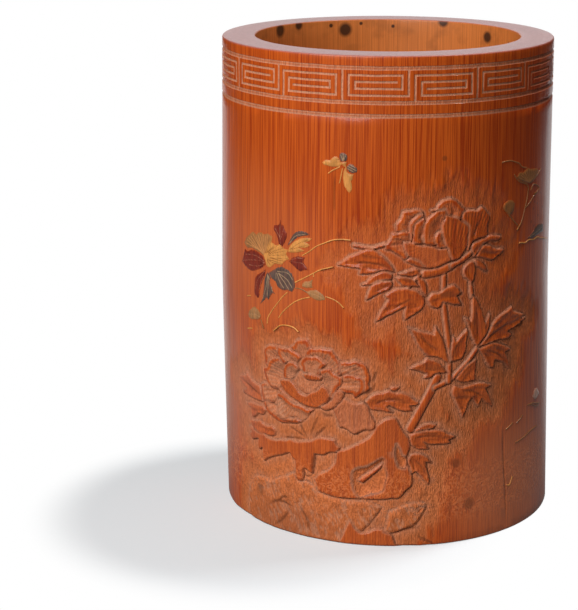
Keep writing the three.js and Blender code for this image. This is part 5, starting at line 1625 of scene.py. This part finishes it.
class POT_OT_stage(bpy.types.Operator):
    """Sets the floor, the lamps, the world and the camera"""

    bl_idname = "pot.stage"
    bl_label = "Stage"

    def execute(self, context):
        stage = context.scene.pot_stage
        camera = placed("camera", bpy.data.cameras.new("camera"))
        camera.data.lens = stage.lens
        camera.location = CAMERA_PLACE
        ahead, down = math.cos(CAMERA_TILT), math.sin(CAMERA_TILT)
        forward = Vector((math.sin(CAMERA_TURN) * ahead, math.cos(CAMERA_TURN) * ahead, -down))
        camera.rotation_euler = forward.to_track_quat("-Z", "Y").to_euler()
        context.scene.camera = camera

        line = sweep_profile(-0.42, 1.2, 0.5, 1.5)
        corners = [(side * 0.48, y, z) for y, z in line for side in (-1, 1)]
        mesh = bpy.data.meshes.new("floor")
        mesh.from_pydata(corners, [], [[2 * i, 2 * i + 1, 2 * i + 3, 2 * i + 2] for i in range(len(line) - 1)])
        mesh.shade_smooth()
        mesh.materials.append(floor_material(stage.floor_white))
        floor = placed("floor", mesh)

        world = bpy.data.worlds.new("Studio")
        context.scene.world = world
        world.use_nodes = True
        tree = Wiring(world.node_tree)
        path = tree.add("ShaderNodeLightPath")
        seen = tree.maths("MAXIMUM", path["Is Camera Ray"], path["Is Transmission Ray"])
        strength = tree.times_plus(seen, 1 - stage.world_light, stage.world_light)
        tree.give(world.node_tree.nodes["Background"], {"Color": (1, 1, 1, 1), "Strength": strength})

        for name, power in (("key", stage.key_power), ("high", stage.back_power)):
            lamp(name, *LAMPS[name], power)
        context.scene.view_settings.view_transform = "Standard"
        return {"FINISHED"}


class POT_PT_panel(bpy.types.Panel):
    """Lists the pot's values and builders"""

    bl_idname = "POT_PT_panel"
    bl_label = "Brush pot"
    bl_space_type = "VIEW_3D"
    bl_region_type = "UI"
    bl_category = "Brush pot"

    def draw(self, context):
        for group in (context.scene.pot_carving, context.scene.pot_lacquer, context.scene.pot_finish,
                      context.scene.pot_stage):
            box = self.layout.box()
            for name in group.__annotations__:
                box.prop(group, name)
        for operator in OPERATORS:
            self.layout.operator(operator.bl_idname)


OPERATORS = (
    POT_OT_finishes,
    POT_OT_culm_body,
    POT_OT_border,
    POT_OT_laid_forms,
    POT_OT_laid_lines,
    POT_OT_stage,
)
GROUPS = {"pot_carving": PotCarving, "pot_lacquer": PotLacquer, "pot_finish": PotFinish, "pot_stage": PotStage}


def register():
    for group in GROUPS.values():
        bpy.utils.register_class(group)
    for name, group in GROUPS.items():
        setattr(bpy.types.Scene, name, bpy.props.PointerProperty(type=group))
    for made in (*OPERATORS, POT_PT_panel):
        bpy.utils.register_class(made)


def unregister():
    for made in (POT_PT_panel, *reversed(OPERATORS)):
        bpy.utils.unregister_class(made)
    for name in GROUPS:
        delattr(bpy.types.Scene, name)
    for group in GROUPS.values():
        bpy.utils.unregister_class(group)


def main():
    register()
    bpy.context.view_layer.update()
    bpy.ops.pot.finishes()
    bpy.ops.pot.culm_body()
    bpy.ops.pot.border()
    bpy.ops.pot.laid_forms()
    bpy.ops.pot.laid_lines()
    bpy.ops.pot.stage()


if __name__ == "__main__":
    main()
